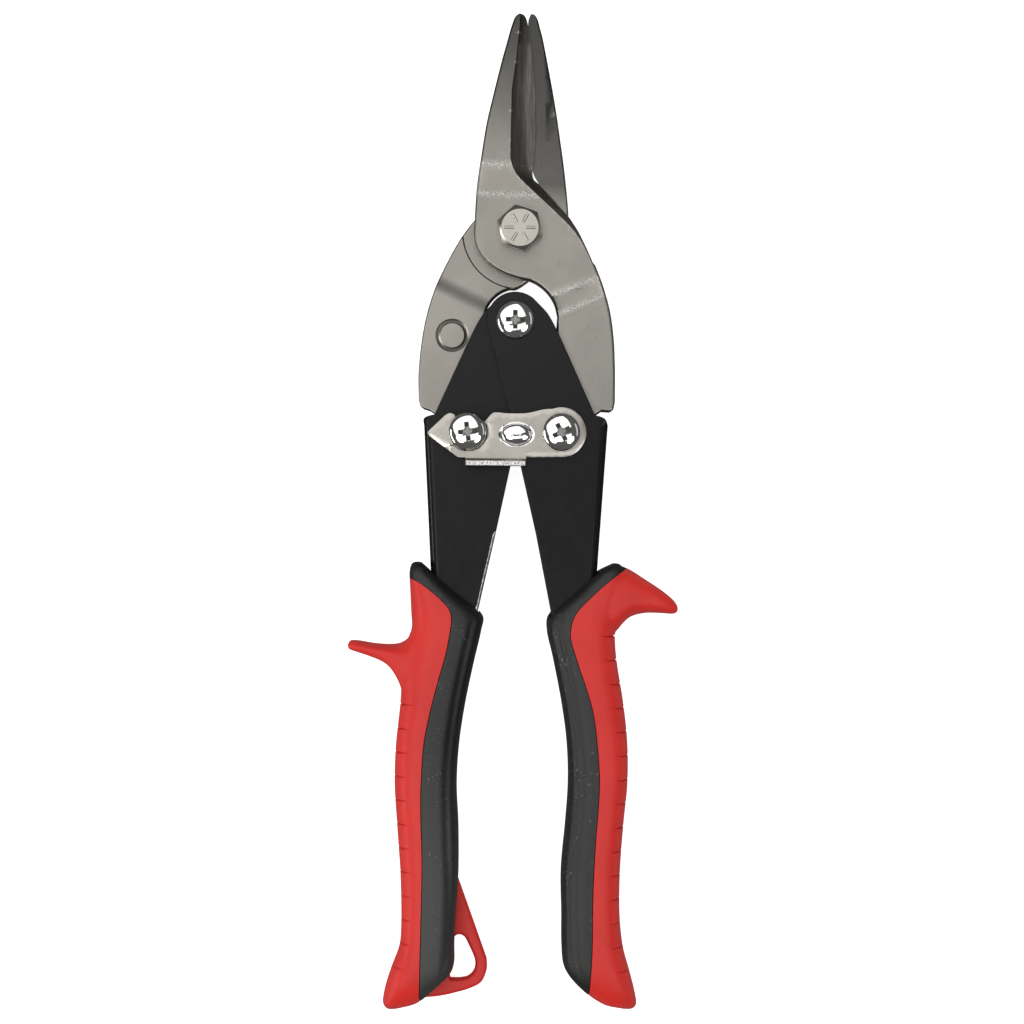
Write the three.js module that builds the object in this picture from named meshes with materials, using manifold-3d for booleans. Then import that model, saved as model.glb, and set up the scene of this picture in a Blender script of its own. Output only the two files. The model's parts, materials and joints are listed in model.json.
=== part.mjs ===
// Aviation snips, 250 mm long, lying flat with the latch closed.
// Millimetres. +X is to the right, +Y towards the blade tips, +Z up out of the flat tool.
// The origin is on the main pivot's axis, in the plane that the tool lies on.
import * as THREE from 'three';
import { mergeVertices } from 'three/addons/utils/BufferGeometryUtils.js';
import Module from 'manifold-3d';

const wasm = await Module();
wasm.setup();

// ---- Driving dimensions ----

const SHEAR_PLANE = 10; // height of the plane in which the two blades pass each other
const BLADE_GAP = 0.3; // between the blades' flat faces
const BLADE_THICKNESS = 5;
const JOGGLE = 1.5; // how far a tang steps back towards the shear plane
const JAW_TOP = 16.4; // front face of the jaw at its root
const TIP_TOP = 13.4; // front face of the jaw at its tip
const CUTTING_LAND = 0.8; // flat strip above the cutting edge
const BLADE_LEAN = THREE.MathUtils.degToRad(-1.5); // closed blades lean right within the pivots' play
const PIVOT_ZONE_RADIUS = 11.5;

const SHEET = 2; // sheet steel of the handles
const WALL_GAP = 0.3; // between one handle's wall and its neighbour
const CHANNEL_INSIDE = BLADE_THICKNESS + 2 * WALL_GAP;
const CHANNEL_DEPTH = CHANNEL_INSIDE + 2 * SHEET;
const HANDLE_X = -0.97; // centre line of the handles
const LOBE_RADIUS = 7.1; // the handle's rounded end round its pivot
const HANDLE_PIVOT = new THREE.Vector2(HANDLE_X, -22.7);
const LINK_HALF_SPAN = 11.6;
const LINK_Y = -50.6;
const RIGHT_LINK = new THREE.Vector2(HANDLE_X + LINK_HALF_SPAN, LINK_Y);
const LEFT_LINK = new THREE.Vector2(HANDLE_X - LINK_HALF_SPAN, LINK_Y);

const BOLT_RADIUS = 3; // M6 main pivot
const BOLT_HEAD_HEIGHT = 4.3;
const HEX_ACROSS_FLATS = 10.2;
const HEX_TURN = THREE.MathUtils.degToRad(12); // how far the bolt was turned when tightened
const PIVOT_WASHER = 1.2;
const PIVOT_WASHER_RADIUS = 6.2;
const NUT_BOTTOM = 0.5; // the nut stands this far above the table
const POST_RADIUS = 3.5; // barrel nuts at the three small pivots
const POST_FLANGE_RADIUS = 4.6;
const POST_FLANGE = 1.7;
const SCREW_RADIUS = 2; // M4 screws
const HEAD_RADIUS = 4.7;
const HEAD_HEIGHT = 2.6;
const SLOT_HALF_LENGTH = 2.5; // each arm of the head's cross
const SLOT_HALF_WIDTH = 0.55;
const SLOT_DEPTH = 1.4;
const BUSH_RADIUS = 4.3;
const RUNNING_GAP = 0.15; // between a shaft and its hole
const OPEN_PIVOT_GAP = 0.4; // the left tang's wider hole
const FACE_GAP = 0.15; // between clamped faces

const LATCH_SHEET = 1.7;
const LATCH_NOSE_RADIUS = 6.2;
const LATCH_WASHER_RADIUS = 5.4;
const NOTCH_RADIUS = 4.9;
const TAB_LEFT = -12.1; // the latch's turned-up thumb tab
const TAB_RIGHT = 2.9;
const TAB_FRONT = -59.1;
const TAB_HEIGHT = 2.6;
const GRIP_THICKNESS = 20;
const GRIP_GAP = 0.3;
const LOOP_LOW = 2.6; // the flat hanging loop's rear face
const LOOP_HIGH = 6.6;
const SPRING_WIRE = 0.6; // radius
const SPRING_COIL = 5.2; // radius of the coil's centre line

const LEFT_CHANNEL_Z = SHEAR_PLANE - (SHEET + WALL_GAP) / 2 - CHANNEL_DEPTH / 2;
const RIGHT_CHANNEL_Z = SHEAR_PLANE + (SHEET + WALL_GAP) / 2 - CHANNEL_DEPTH / 2;
const RIGHT_FRONT = RIGHT_CHANNEL_Z + CHANNEL_DEPTH;
const LEFT_FRONT = LEFT_CHANNEL_Z + CHANNEL_DEPTH;
const WASHER_Z = RIGHT_FRONT + FACE_GAP;
const WASHER_SHEET = 0.4;
const LATCH_Z = WASHER_Z + WASHER_SHEET + FACE_GAP;
const LINK_HEAD_Z = LATCH_Z + LATCH_SHEET + FACE_GAP;

const ROUND_STEPS = 32;
const CURVE_STEPS = 2;

// ---- Helpers ----

function v2(x, y) {
  return new THREE.Vector2(x, y);
}

// A closed geometry as a solid that can be joined and cut.
function solid(geometry) {
  const bare = geometry.clone();
  bare.deleteAttribute('normal');
  bare.deleteAttribute('uv');
  const merged = mergeVertices(bare, 1e-4);
  const mesh = new wasm.Mesh({
    numProp: 3,
    vertProperties: merged.attributes.position.array,
    triVerts: new Uint32Array(merged.index.array),
  });
  return new wasm.Manifold(mesh);
}

function geometryOf(body) {
  const mesh = body.getMesh();
  const geometry = new THREE.BufferGeometry();
  geometry.setAttribute('position', new THREE.BufferAttribute(mesh.vertProperties, 3));
  geometry.setIndex(new THREE.BufferAttribute(mesh.triVerts, 1));
  geometry.computeVertexNormals();
  return geometry;
}

// A closed outline made of stretches: each stretch is a smooth curve through its points,
// and two points make a straight line. Every stretch starts where the last one ended.
function outline(...stretches) {
  const shape = new THREE.Shape();
  shape.moveTo(...stretches[0][0]);
  stretches.forEach((stretch, index) => {
    const points = stretch.slice(index === 0 ? 1 : 0).map(([x, y]) => v2(x, y));
    if (points.length === 1) shape.lineTo(points[0].x, points[0].y);
    else shape.splineThru(points);
  });
  return shape;
}

function slab(shape, low, high) {
  const geometry = new THREE.ExtrudeGeometry(shape, {
    depth: high - low,
    bevelEnabled: false,
    curveSegments: CURVE_STEPS,
  });
  geometry.translate(0, 0, low);
  return solid(geometry);
}

function cylinder(radius, low, high, centre = v2(0, 0)) {
  const geometry = new THREE.CylinderGeometry(radius, radius, high - low, ROUND_STEPS);
  geometry.rotateX(Math.PI / 2);
  geometry.translate(centre.x, centre.y, (low + high) / 2);
  return solid(geometry);
}

// A solid of revolution about a vertical axis, from (radius, height) pairs.
function turned(profile, centre = v2(0, 0)) {
  const points = profile.map(([radius, height]) => v2(radius, height));
  const geometry = new THREE.LatheGeometry([...points, points[0].clone()], ROUND_STEPS);
  geometry.rotateX(Math.PI / 2);
  geometry.translate(centre.x, centre.y, 0);
  return solid(geometry);
}

function box(low, high) {
  const size = high.map((value, axis) => value - low[axis]);
  const geometry = new THREE.BoxGeometry(...size);
  geometry.translate(...low.map((value, axis) => value + size[axis] / 2));
  return solid(geometry);
}

// Joins rings of equal length into a closed body. Each ring runs anticlockwise
// as seen from ahead, looking back along the row of rings.
function loft(rings) {
  const count = rings[0].length;
  const positions = rings.flat().flatMap((point) => [point.x, point.y, point.z]);
  const index = [];
  for (let row = 0; row + 1 < rings.length; row += 1) {
    for (let step = 0; step < count; step += 1) {
      const next = (step + 1) % count;
      const a = row * count + step;
      const b = row * count + next;
      index.push(a, b, b + count, a, b + count, a + count);
    }
  }
  const last = (rings.length - 1) * count;
  for (let step = 1; step + 1 < count; step += 1) {
    index.push(0, step + 1, step);
    index.push(last, last + step, last + step + 1);
  }
  const geometry = new THREE.BufferGeometry();
  geometry.setAttribute('position', new THREE.Float32BufferAttribute(positions, 3));
  geometry.setIndex(index);
  return solid(geometry);
}

// A rounded-rectangle ring round a centre, in the plane of two directions.
function roundedRing(centre, across, halfAcross, up, halfUp, steps = 20) {
  const squareness = 0.6; // 1 is an ellipse, 0 a rectangle
  const ring = [];
  for (let step = 0; step < steps; step += 1) {
    const angle = (step / steps) * 2 * Math.PI;
    const cos = Math.cos(angle);
    const sin = Math.sin(angle);
    const x = Math.sign(cos) * Math.abs(cos) ** squareness * halfAcross;
    const z = Math.sign(sin) * Math.abs(sin) ** squareness * halfUp;
    ring.push(centre.clone().addScaledVector(across, x).addScaledVector(up, z));
  }
  return ring;
}

const group = new THREE.Group();
group.name = 'aviation_snips';

function addNode(name, body, finish, parent = group) {
  const mesh = new THREE.Mesh(geometryOf(body), new THREE.MeshStandardMaterial(finish));
  mesh.name = name;
  parent.add(mesh);
  return mesh;
}

const BLADE_STEEL = { color: 0x8c8b84, roughness: 0.42, metalness: 1 };
const NICKEL = { color: 0xa6a298, roughness: 0.38, metalness: 1 };
const CHROME = { color: 0xd0d0ce, roughness: 0.12, metalness: 1 };
const SPRING_STEEL = { color: 0x5c5c5a, roughness: 0.4, metalness: 1 };
const BLACK_PAINT = { color: 0x121213, roughness: 0.3, metalness: 0 };
const RED_PLASTIC = { color: 0xc8261f, roughness: 0.5, metalness: 0 };
const BLACK_RUBBER = { color: 0x1c1c1b, roughness: 0.7, metalness: 0 };

// ---- Blades ----
// Both blades are drawn as the front one, jaw on the left and tang on the right,
// upright on the main pivot. The rear one is the same forging turned over.

const FRONT_FACE = SHEAR_PLANE + BLADE_GAP / 2;

const JAW_ROOT = 12.6; // the jaw's own faces begin here
const STEEL_TOP = FRONT_FACE + BLADE_THICKNESS;

// Each jaw is a row of cross-sections: its outer side, the ridge between face and
// bevel, the cutting edge, and the height of the face.
const FRONT_SHAPE = {
  throatRadius: 10.6,
  linkHoleRadius: POST_RADIUS + RUNNING_GAP,
  flank: [[-5.7, 42.4], [-7.6, 34.0], [-9.2, 26.0], [-10.2, 18.0], [-11.1, 10.0], [-11.3, 2.0]],
  heel: [[20.2, -46.2], [21.9, -44.6]],
  corner: [[23.9, -44.7], [24.9, -44.0], [25.2, -42.2]],
  back: [[24.9, -38.5], [24.3, -33]],
  shoulder: [[20.4, -14], [18.2, -8], [16.0, -2.4], [13.6, 1.9], [10.2, 6.0], [5.0, 11.4]],
  root: [3.1, 12.9],
  inJaw: [2.3, 38],
  jaw: [
    { y: 54.4, outer: -2.6, ridge: -1.7, edge: -0.7, top: TIP_TOP },
    { y: 51, outer: -3.7, ridge: -1.75, edge: 0.45, top: 13.9 },
    { y: 43, outer: -5.6, ridge: -2.4, edge: 1.7, top: 14.8 },
    { y: 35, outer: -7.5, ridge: -3.1, edge: 2.5, top: 15.6 },
    { y: 26, outer: -9.2, ridge: -3.2, edge: 3.05, top: 16.1 },
    { y: 18, outer: -10.2, ridge: -3.0, edge: 2.85, top: JAW_TOP },
    { y: JAW_ROOT, outer: -10.8, ridge: -0.6, edge: 3.1, top: 15.7 },
    { y: 8, outer: -11.2, ridge: 4.6, edge: 5.0, top: STEEL_TOP },
  ],
};
const REAR_SHAPE = {
  throatRadius: 8.6,
  linkHoleRadius: POST_RADIUS + OPEN_PIVOT_GAP,
  flank: [[-5.6, 42.0], [-7.4, 34.0], [-8.9, 26.0], [-10.2, 18.0], [-11.7, 9.0], [-12.4, 3.0]],
  heel: [[20.2, -46.2], [22.5, -45.4]],
  corner: [[23.3, -44.7], [23.9, -43.2]],
  back: [[24.2, -39], [24.2, -33]],
  shoulder: [[20.4, -14], [17.9, -8], [14.9, -2.4], [12.0, 1.7], [8.0, 5.8], [0, 10.6]],
  root: [-4.3, 12.2],
  inJaw: [-4.0, 38],
  jaw: [
    { y: 55.1, outer: -2.4, ridge: -1.9, edge: -1.0, top: TIP_TOP },
    { y: 51, outer: -3.4, ridge: -2.2, edge: -0.4, top: 13.9 },
    { y: 43, outer: -5.4, ridge: -3.4, edge: -1.2, top: 14.8 },
    { y: 35, outer: -7.2, ridge: -4.9, edge: -1.8, top: 15.6 },
    { y: 26, outer: -8.9, ridge: -6.2, edge: -2.15, top: 16.1 },
    { y: 18, outer: -10.2, ridge: -6.9, edge: -2.6, top: JAW_TOP },
    { y: JAW_ROOT, outer: -11.1, ridge: -5.6, edge: -4.3, top: 15.7 },
    { y: 8, outer: -11.8, ridge: -2.6, edge: -2.2, top: STEEL_TOP },
  ],
};

// Points on a circle at the given angles in degrees.
function onCircle(centre, radius, angles) {
  return angles.map((degrees) => {
    const angle = THREE.MathUtils.degToRad(degrees);
    return [centre.x + radius * Math.cos(angle), centre.y + radius * Math.sin(angle)];
  });
}

function bladeOutline({ throatRadius, flank, heel, corner, back, shoulder, root, inJaw }) {
  const pivot = v2(-0.38, -22.7); // the handle pivot as the upright blade sees it
  const throat = onCircle(pivot, throatRadius, [88, 68, 48, 28, 8]);
  const zone = onCircle(v2(0, 0), PIVOT_ZONE_RADIUS, [200, 222, 245]);
  return outline(
    [...flank, ...zone, ...throat],
    [[9.6, -28], [7.0, -40], [5.4, -48], [6.0, -54], [11.4, -57.1], [16.8, -54.2], [18.4, -48.6]],
    heel,
    corner,
    [...back, [23.6, -26.5], [22.1, -19.6], ...shoulder],
    [root],
    [inJaw],
  );
}

// The blade's side profile keeps the pivot zone flat and steps the tang back.
function joggledPrism() {
  const low = FRONT_FACE;
  const high = STEEL_TOP;
  const start = -18.3; // the step's place along the blade
  const end = -23.0;
  const across = THREE.MathUtils.degToRad(24); // the step lies aslant
  const reach = 80;
  const profile = outline(
    [[reach, low], [start, low]],
    [[end, low - JOGGLE], [-reach, low - JOGGLE]],
    [[-reach, high - JOGGLE]],
    [[end, high - JOGGLE]],
    [[start, high]],
    [[reach, high]],
  );
  const geometry = new THREE.ExtrudeGeometry(profile, { depth: reach, bevelEnabled: false });
  geometry.translate(0, 0, -reach / 2);
  geometry.rotateX(Math.PI / 2);
  geometry.rotateZ(Math.PI / 2 + across);
  return solid(geometry);
}

// The jaw: an outer flank, a flat front face, and a facet down to the cutting edge.
function jaw(stations) {
  const rounding = 0.5; // of the outer corner
  const rings = stations.map(({ y, outer, ridge, edge, top }) => {
    const land = FRONT_FACE + CUTTING_LAND;
    const corner = Math.min(outer + rounding, ridge - 0.1);
    return [
      new THREE.Vector3(outer, y, FRONT_FACE),
      new THREE.Vector3(edge, y, FRONT_FACE),
      new THREE.Vector3(edge, y, land),
      new THREE.Vector3(ridge, y, top),
      new THREE.Vector3(corner, y, top),
      new THREE.Vector3(outer, y, top - rounding),
    ];
  });
  return loft(rings);
}

function blade(shape, linkHole) {
  const plate = slab(bladeOutline(shape), 0, GRIP_THICKNESS);
  const reach = 60;
  const jawSide = box([-reach, JAW_ROOT, 0], [reach, reach, GRIP_THICKNESS]);
  const bladeBody = plate.subtract(jawSide).intersect(joggledPrism()).add(jaw(shape.jaw));
  const holes = cylinder(BOLT_RADIUS + RUNNING_GAP, 0, GRIP_THICKNESS)
    .add(cylinder(shape.linkHoleRadius, 0, GRIP_THICKNESS, linkHole));
  return bladeBody.subtract(holes);
}

const blades = new THREE.Group();
blades.rotation.z = BLADE_LEAN;
group.add(blades);

const rightTangHole = RIGHT_LINK.clone().rotateAround(v2(0, 0), -BLADE_LEAN);
addNode('front_blade', blade(FRONT_SHAPE, rightTangHole), BLADE_STEEL, blades);

const leftTangHole = LEFT_LINK.clone().rotateAround(v2(0, 0), -BLADE_LEAN);
leftTangHole.x *= -1;
const rearBlade = addNode('rear_blade', blade(REAR_SHAPE, leftTangHole), BLADE_STEEL, blades);
rearBlade.rotation.y = Math.PI;
rearBlade.position.z = 2 * SHEAR_PLANE;

// ---- Main pivot: hex bolt from the front, washer and nut behind ----

const REAR_FACE = 2 * SHEAR_PLANE - FRONT_FACE - BLADE_THICKNESS;
const BOLT_HEAD_Z = FRONT_FACE + BLADE_THICKNESS + FACE_GAP;
const NUT_TOP = REAR_FACE - FACE_GAP - PIVOT_WASHER - FACE_GAP;

function hexagon(acrossFlats, low, high) {
  const radius = acrossFlats / Math.sqrt(3);
  const geometry = new THREE.CylinderGeometry(radius, radius, high - low, 6);
  geometry.rotateX(Math.PI / 2);
  geometry.rotateZ(HEX_TURN);
  geometry.translate(0, 0, (low + high) / 2);
  return solid(geometry);
}

function pivotBolt() {
  const top = BOLT_HEAD_Z + BOLT_HEAD_HEIGHT;
  const chamfer = turned([
    [0, BOLT_HEAD_Z - 1],
    [8, BOLT_HEAD_Z - 1],
    [8, top - 1.7],
    [4.8, top],
    [0, top],
  ]);
  const head = hexagon(HEX_ACROSS_FLATS, BOLT_HEAD_Z, top).intersect(chamfer);
  const shank = turned([
    [0, 0],
    [BOLT_RADIUS - 0.5, 0],
    [BOLT_RADIUS, 0.5],
    [BOLT_RADIUS, BOLT_HEAD_Z + 1],
    [0, BOLT_HEAD_Z + 1],
  ]);
  return head.add(shank);
}

function ringSolid(inner, outer, low, high, centre = v2(0, 0)) {
  return turned([[inner, low], [outer, low], [outer, high], [inner, high]], centre);
}

addNode('pivot_bolt', pivotBolt(), NICKEL);
const boltHole = BOLT_RADIUS + RUNNING_GAP;
const washerTop = REAR_FACE - FACE_GAP;
const washer = ringSolid(boltHole, PIVOT_WASHER_RADIUS, washerTop - PIVOT_WASHER, washerTop);
addNode('pivot_washer', washer, NICKEL);
const nut = hexagon(HEX_ACROSS_FLATS, NUT_BOTTOM, NUT_TOP);
addNode('pivot_nut', nut.subtract(cylinder(boltHole, 0, GRIP_THICKNESS)), NICKEL);

// ---- Handles ----
// Each handle is one stamping: a channel with a web along its outer side, open inwards.
// Both are drawn as the right one, round the handles' centre line; the left one is
// the same stamping turned over.

const WEB_TOP = -48;
const OUTER_EDGE = [[23.3, -48.6], [20.8, -85], [21.8, -100], [24.6, -120], [25.6, -138], [25.3, -148]];
const INNER_EDGE = [[16.6, -148], [17.4, -138], [15.6, -120], [11.6, -103], [9.3, -95]];
const CHANNEL_END = -160;

// The handle's outline, or the same outline grown on all sides for the pocket in a grip.
function handleOutline(grow = 0) {
  const outer = OUTER_EDGE.map(([x, y]) => [x + grow, y]);
  const inner = INNER_EDGE.map(([x, y]) => [x - grow, y]);
  const lobe = onCircle(v2(0, HANDLE_PIVOT.y), LOBE_RADIUS, [180, 150, 120, 90, 60, 35]);
  return outline(
    lobe,
    [[8.0, -20.8], [10.0, -24.3], [12.0, -28.5]],
    [[20, -46.2]],
    [[22.0, -46.9], outer[0]],
    [outer[1]],
    [...outer.slice(2), [24.6 + grow, CHANNEL_END - grow]],
    [[16.2 - grow, CHANNEL_END - grow]],
    [inner[0], ...inner.slice(1)],
    [[1.35 - grow, -59]],
    [[-1.3, -45.4]],
    [[-6.6, -25]],
  );
}

// Everything inside the web, between the two walls.
function channelSpace() {
  const reach = 40;
  const inside = OUTER_EDGE.map(([x, y]) => [x - SHEET, y]);
  return outline(
    [[-reach, 0], [reach, 0]],
    [[reach, WEB_TOP]],
    [[inside[0][0], WEB_TOP]],
    [inside[1]],
    [...inside.slice(2), [24.6 - SHEET, CHANNEL_END - 1]],
    [[-reach, CHANNEL_END - 1]],
  );
}

function handle() {
  const low = RIGHT_CHANNEL_Z;
  const stamping = slab(handleOutline(), low, low + CHANNEL_DEPTH);
  const space = slab(channelSpace(), low + SHEET, low + SHEET + CHANNEL_INSIDE);
  const aboveWeb = box([18, WEB_TOP, low - 1], [30, WEB_TOP + 8, low + CHANNEL_DEPTH + 1]);
  const holes = cylinder(POST_RADIUS + RUNNING_GAP, 0, GRIP_THICKNESS, v2(0, HANDLE_PIVOT.y))
    .add(cylinder(POST_RADIUS + RUNNING_GAP, 0, GRIP_THICKNESS, v2(LINK_HALF_SPAN, LINK_Y)));
  return stamping.subtract(space).subtract(aboveWeb).subtract(holes);
}

const handles = new THREE.Group();
handles.position.x = HANDLE_X;
group.add(handles);

addNode('right_handle', handle(), BLACK_PAINT, handles);
const leftHandle = addNode('left_handle', handle(), BLACK_PAINT, handles);
leftHandle.rotation.y = Math.PI;
leftHandle.position.z = 2 * SHEAR_PLANE;

// ---- The three small pivots: a barrel nut from behind, a pan-head screw from the front ----

function post(centre, low, high) {
  const flangeLow = low - FACE_GAP - POST_FLANGE;
  const bore = SCREW_RADIUS + RUNNING_GAP;
  const profile = [
    [0, flangeLow],
    [POST_FLANGE_RADIUS - 0.5, flangeLow],
    [POST_FLANGE_RADIUS, flangeLow + 0.5],
    [POST_FLANGE_RADIUS, low - FACE_GAP],
    [POST_RADIUS, low - FACE_GAP],
    [POST_RADIUS, high],
    [bore, high],
    [bore, flangeLow + POST_FLANGE],
    [0, flangeLow + POST_FLANGE],
  ];
  return turned(profile, centre);
}

function screw(centre, headLow, end) {
  const top = headLow + HEAD_HEIGHT;
  const profile = [
    [0, end],
    [SCREW_RADIUS, end],
    [SCREW_RADIUS, headLow],
    [HEAD_RADIUS, headLow],
    [HEAD_RADIUS, headLow + 0.7],
    [4.3, headLow + 1.5],
    [3.4, headLow + 2.2],
    [2.0, top],
    [0, top],
  ];
  const recess = [];
  for (const turn of [0, 1]) {
    const long = turn ? SLOT_HALF_WIDTH : SLOT_HALF_LENGTH;
    const wide = turn ? SLOT_HALF_LENGTH : SLOT_HALF_WIDTH;
    recess.push(box(
      [centre.x - long, centre.y - wide, top - SLOT_DEPTH],
      [centre.x + long, centre.y + wide, top + 1],
    ));
  }
  return turned(profile, centre).subtract(recess[0].add(recess[1]));
}

const pivots = [
  {
    name: 'handle_pivot',
    centre: HANDLE_PIVOT,
    rear: LEFT_CHANNEL_Z,
    postTop: RIGHT_FRONT,
    head: RIGHT_FRONT + FACE_GAP,
  },
  {
    name: 'right_link',
    centre: RIGHT_LINK,
    rear: RIGHT_CHANNEL_Z,
    postTop: LINK_HEAD_Z - FACE_GAP,
    head: LINK_HEAD_Z,
  },
  {
    name: 'left_link',
    centre: LEFT_LINK,
    rear: LEFT_CHANNEL_Z,
    postTop: LEFT_FRONT,
    head: LINK_HEAD_Z,
  },
];
for (const { name, centre, rear, postTop, head } of pivots) {
  addNode(`${name}_post`, post(centre, rear, postTop), CHROME);
  addNode(`${name}_screw`, screw(centre, head, rear + 1), CHROME);
}

// ---- Return spring round a bush between the handles' inner walls ----

const SPRING_ROOM_LOW = RIGHT_CHANNEL_Z + SHEET;
const SPRING_ROOM_HIGH = LEFT_FRONT - SHEET;
const bushLow = SPRING_ROOM_LOW + FACE_GAP;
const bushHigh = SPRING_ROOM_HIGH - FACE_GAP;
const bush = ringSolid(POST_RADIUS + RUNNING_GAP, BUSH_RADIUS, bushLow, bushHigh, HANDLE_PIVOT);
addNode('spring_bush', bush, CHROME);

// A turn and a half of wire, then two legs that press the tangs apart from inside.
function returnSpring() {
  const turns = 1.49;
  const start = THREE.MathUtils.degToRad(2);
  const wallRoom = 0.3; // between the wire and the walls
  const lowZ = SPRING_ROOM_LOW + SPRING_WIRE + wallRoom;
  const rise = SPRING_ROOM_HIGH - SPRING_WIRE - wallRoom - lowZ;
  const legLength = 17.5;
  const points = [];
  const coilSteps = 22;
  for (let step = 0; step <= coilSteps; step += 1) {
    const part = step / coilSteps;
    const angle = start + part * turns * 2 * Math.PI;
    points.push(new THREE.Vector3(
      HANDLE_PIVOT.x + SPRING_COIL * Math.cos(angle),
      HANDLE_PIVOT.y + SPRING_COIL * Math.sin(angle),
      lowZ + rise * part,
    ));
  }
  const leg = (from, heading) => new THREE.Vector3(
    from.x + legLength * Math.cos(heading),
    from.y + legLength * Math.sin(heading),
    from.z,
  );
  const end = start + turns * 2 * Math.PI;
  points.unshift(leg(points[0], start - Math.PI / 2));
  points.push(leg(points[points.length - 1], end + Math.PI / 2));
  const path = new THREE.CatmullRomCurve3(points, false, 'catmullrom', 0.3);
  const wire = new THREE.Shape();
  wire.absarc(0, 0, SPRING_WIRE, 0, 2 * Math.PI);
  return solid(new THREE.ExtrudeGeometry(wire, { extrudePath: path, steps: 52, curveSegments: 4 }));
}

addNode('return_spring', returnSpring(), SPRING_STEEL);

// ---- Latch ----
// A hooked plate that turns on the right link post and catches the left link screw.

function latchOutline() {
  const shape = new THREE.Shape();
  const right = LINK_HALF_SPAN;
  const degrees = THREE.MathUtils.degToRad;
  shape.moveTo(-5.4, -45.9);
  shape.splineThru([v2(-1.6, -46.0), v2(3.0, -45.9), v2(7.0, -45.0)]);
  shape.absarc(right, LINK_Y, LATCH_NOSE_RADIUS, degrees(110), degrees(-80), true);
  shape.lineTo(-13.2, -57.0);
  shape.lineTo(-14.6, -56.5);
  shape.lineTo(-21.0, -51.8);
  shape.quadraticCurveTo(-21.8, -51.0, -21.2, -50.3);
  shape.lineTo(-17.2, -46.6);
  shape.quadraticCurveTo(-16.2, -45.9, -14.9, -46.4);
  shape.lineTo(-14.3, -49.2); // the seat that holds the screw's neck, under its head
  shape.lineTo(-14.3, -52.2);
  shape.lineTo(-15.1, -54.0);
  shape.absarc(-right, LINK_Y, NOTCH_RADIUS, degrees(225), degrees(390), false);
  shape.quadraticCurveTo(-6.6, -46.2, -5.4, -45.9);
  return shape;
}

function latch() {
  const top = LATCH_Z + LATCH_SHEET;
  const plate = slab(latchOutline(), LATCH_Z, top);
  const tabFoot = box([TAB_LEFT, TAB_FRONT, LATCH_Z], [TAB_RIGHT, TAB_FRONT + 2.3, top]);
  const tab = box(
    [TAB_LEFT, TAB_FRONT, LATCH_Z],
    [TAB_RIGHT, TAB_FRONT + LATCH_SHEET, top + TAB_HEIGHT],
  );
  const dome = new THREE.SphereGeometry(1, 20, 10); // a pressed thumb rest
  dome.scale(3.7, 2.5, 1.0);
  dome.translate(0.5, -51.2, top - 0.1);
  const hole = cylinder(POST_RADIUS + RUNNING_GAP, 0, 2 * GRIP_THICKNESS, v2(LINK_HALF_SPAN, LINK_Y));
  return plate.add(tabFoot).add(tab).add(solid(dome)).subtract(hole);
}

addNode('latch', latch(), NICKEL, handles);
const latchWasherTop = WASHER_Z + WASHER_SHEET;
const postHole = POST_RADIUS + RUNNING_GAP;
const latchWasher = ringSolid(postHole, LATCH_WASHER_RADIUS, WASHER_Z, latchWasherTop, RIGHT_LINK);
addNode('latch_washer', latchWasher, NICKEL);

// ---- Grips: a red shell on the outer side, a black insert on the inner side ----

const HALF_GRIP = GRIP_THICKNESS / 2;
const RIGHT = new THREE.Vector3(1, 0, 0);
const UP = new THREE.Vector3(0, 0, 1);
const AHEAD = new THREE.Vector3(0, 1, 0);

// Stations down the grip: y, left side, right side, half thickness.
function gripBody(stations) {
  return loft(stations.map(([y, left, right, half]) => roundedRing(
    new THREE.Vector3((left + right) / 2, y, HALF_GRIP),
    RIGHT,
    (right - left) / 2,
    UP,
    half,
  )));
}

// Stations out along a thumb guard: x, low y, high y, half thickness.
function guard(stations, side) {
  return loft(stations.map(([x, low, high, half]) => roundedRing(
    new THREE.Vector3(x, (low + high) / 2, HALF_GRIP),
    AHEAD.clone().multiplyScalar(side),
    (high - low) / 2,
    UP,
    half,
  )));
}

const LEFT_GRIP = [
  [-83.2, -25.4, -23.2, 7.0],
  [-85.5, -26.0, -20.6, 8.6],
  [-90, -25.8, -15.2, 9.4],
  [-96, -25.5, -7.9, 9.7],
  [-100, -25.4, -7.9, 10],
  [-109, -27.4, -9.9, 10],
  [-119, -28.1, -11.9, 10],
  [-129, -29.1, -13.3, 10],
  [-139, -29.3, -13.8, 10],
  [-149, -28.6, -13.3, 10],
  [-161, -27.7, -13.2, 10],
  [-172, -27.4, -13.8, 10],
  [-179, -27.8, -14.1, 10],
  [-185, -29.9, -14.4, 10],
  [-189.5, -31.3, -18.5, 9.2],
  [-193, -31.9, -22.6, 7.8],
  [-194.8, -31.7, -25.8, 5.8],
  [-195.6, -31.2, -28.0, 3.6],
];
const LEFT_GUARD = [
  [-20, -115, -94, 9.0],
  [-25.2, -114.8, -99.2, 8.8],
  [-26.6, -114.0, -101.7, 8.5],
  [-28.3, -113.0, -103.1, 8.2],
  [-29.2, -110.8, -103.4, 7.9],
  [-30.6, -109.1, -103.7, 7.5],
  [-33.1, -107.8, -104.0, 7.0],
  [-37, -106.8, -103.8, 6.4],
  [-40.4, -105.9, -103.4, 5.4],
  [-41.3, -105.5, -103.7, 4.6],
];
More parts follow.
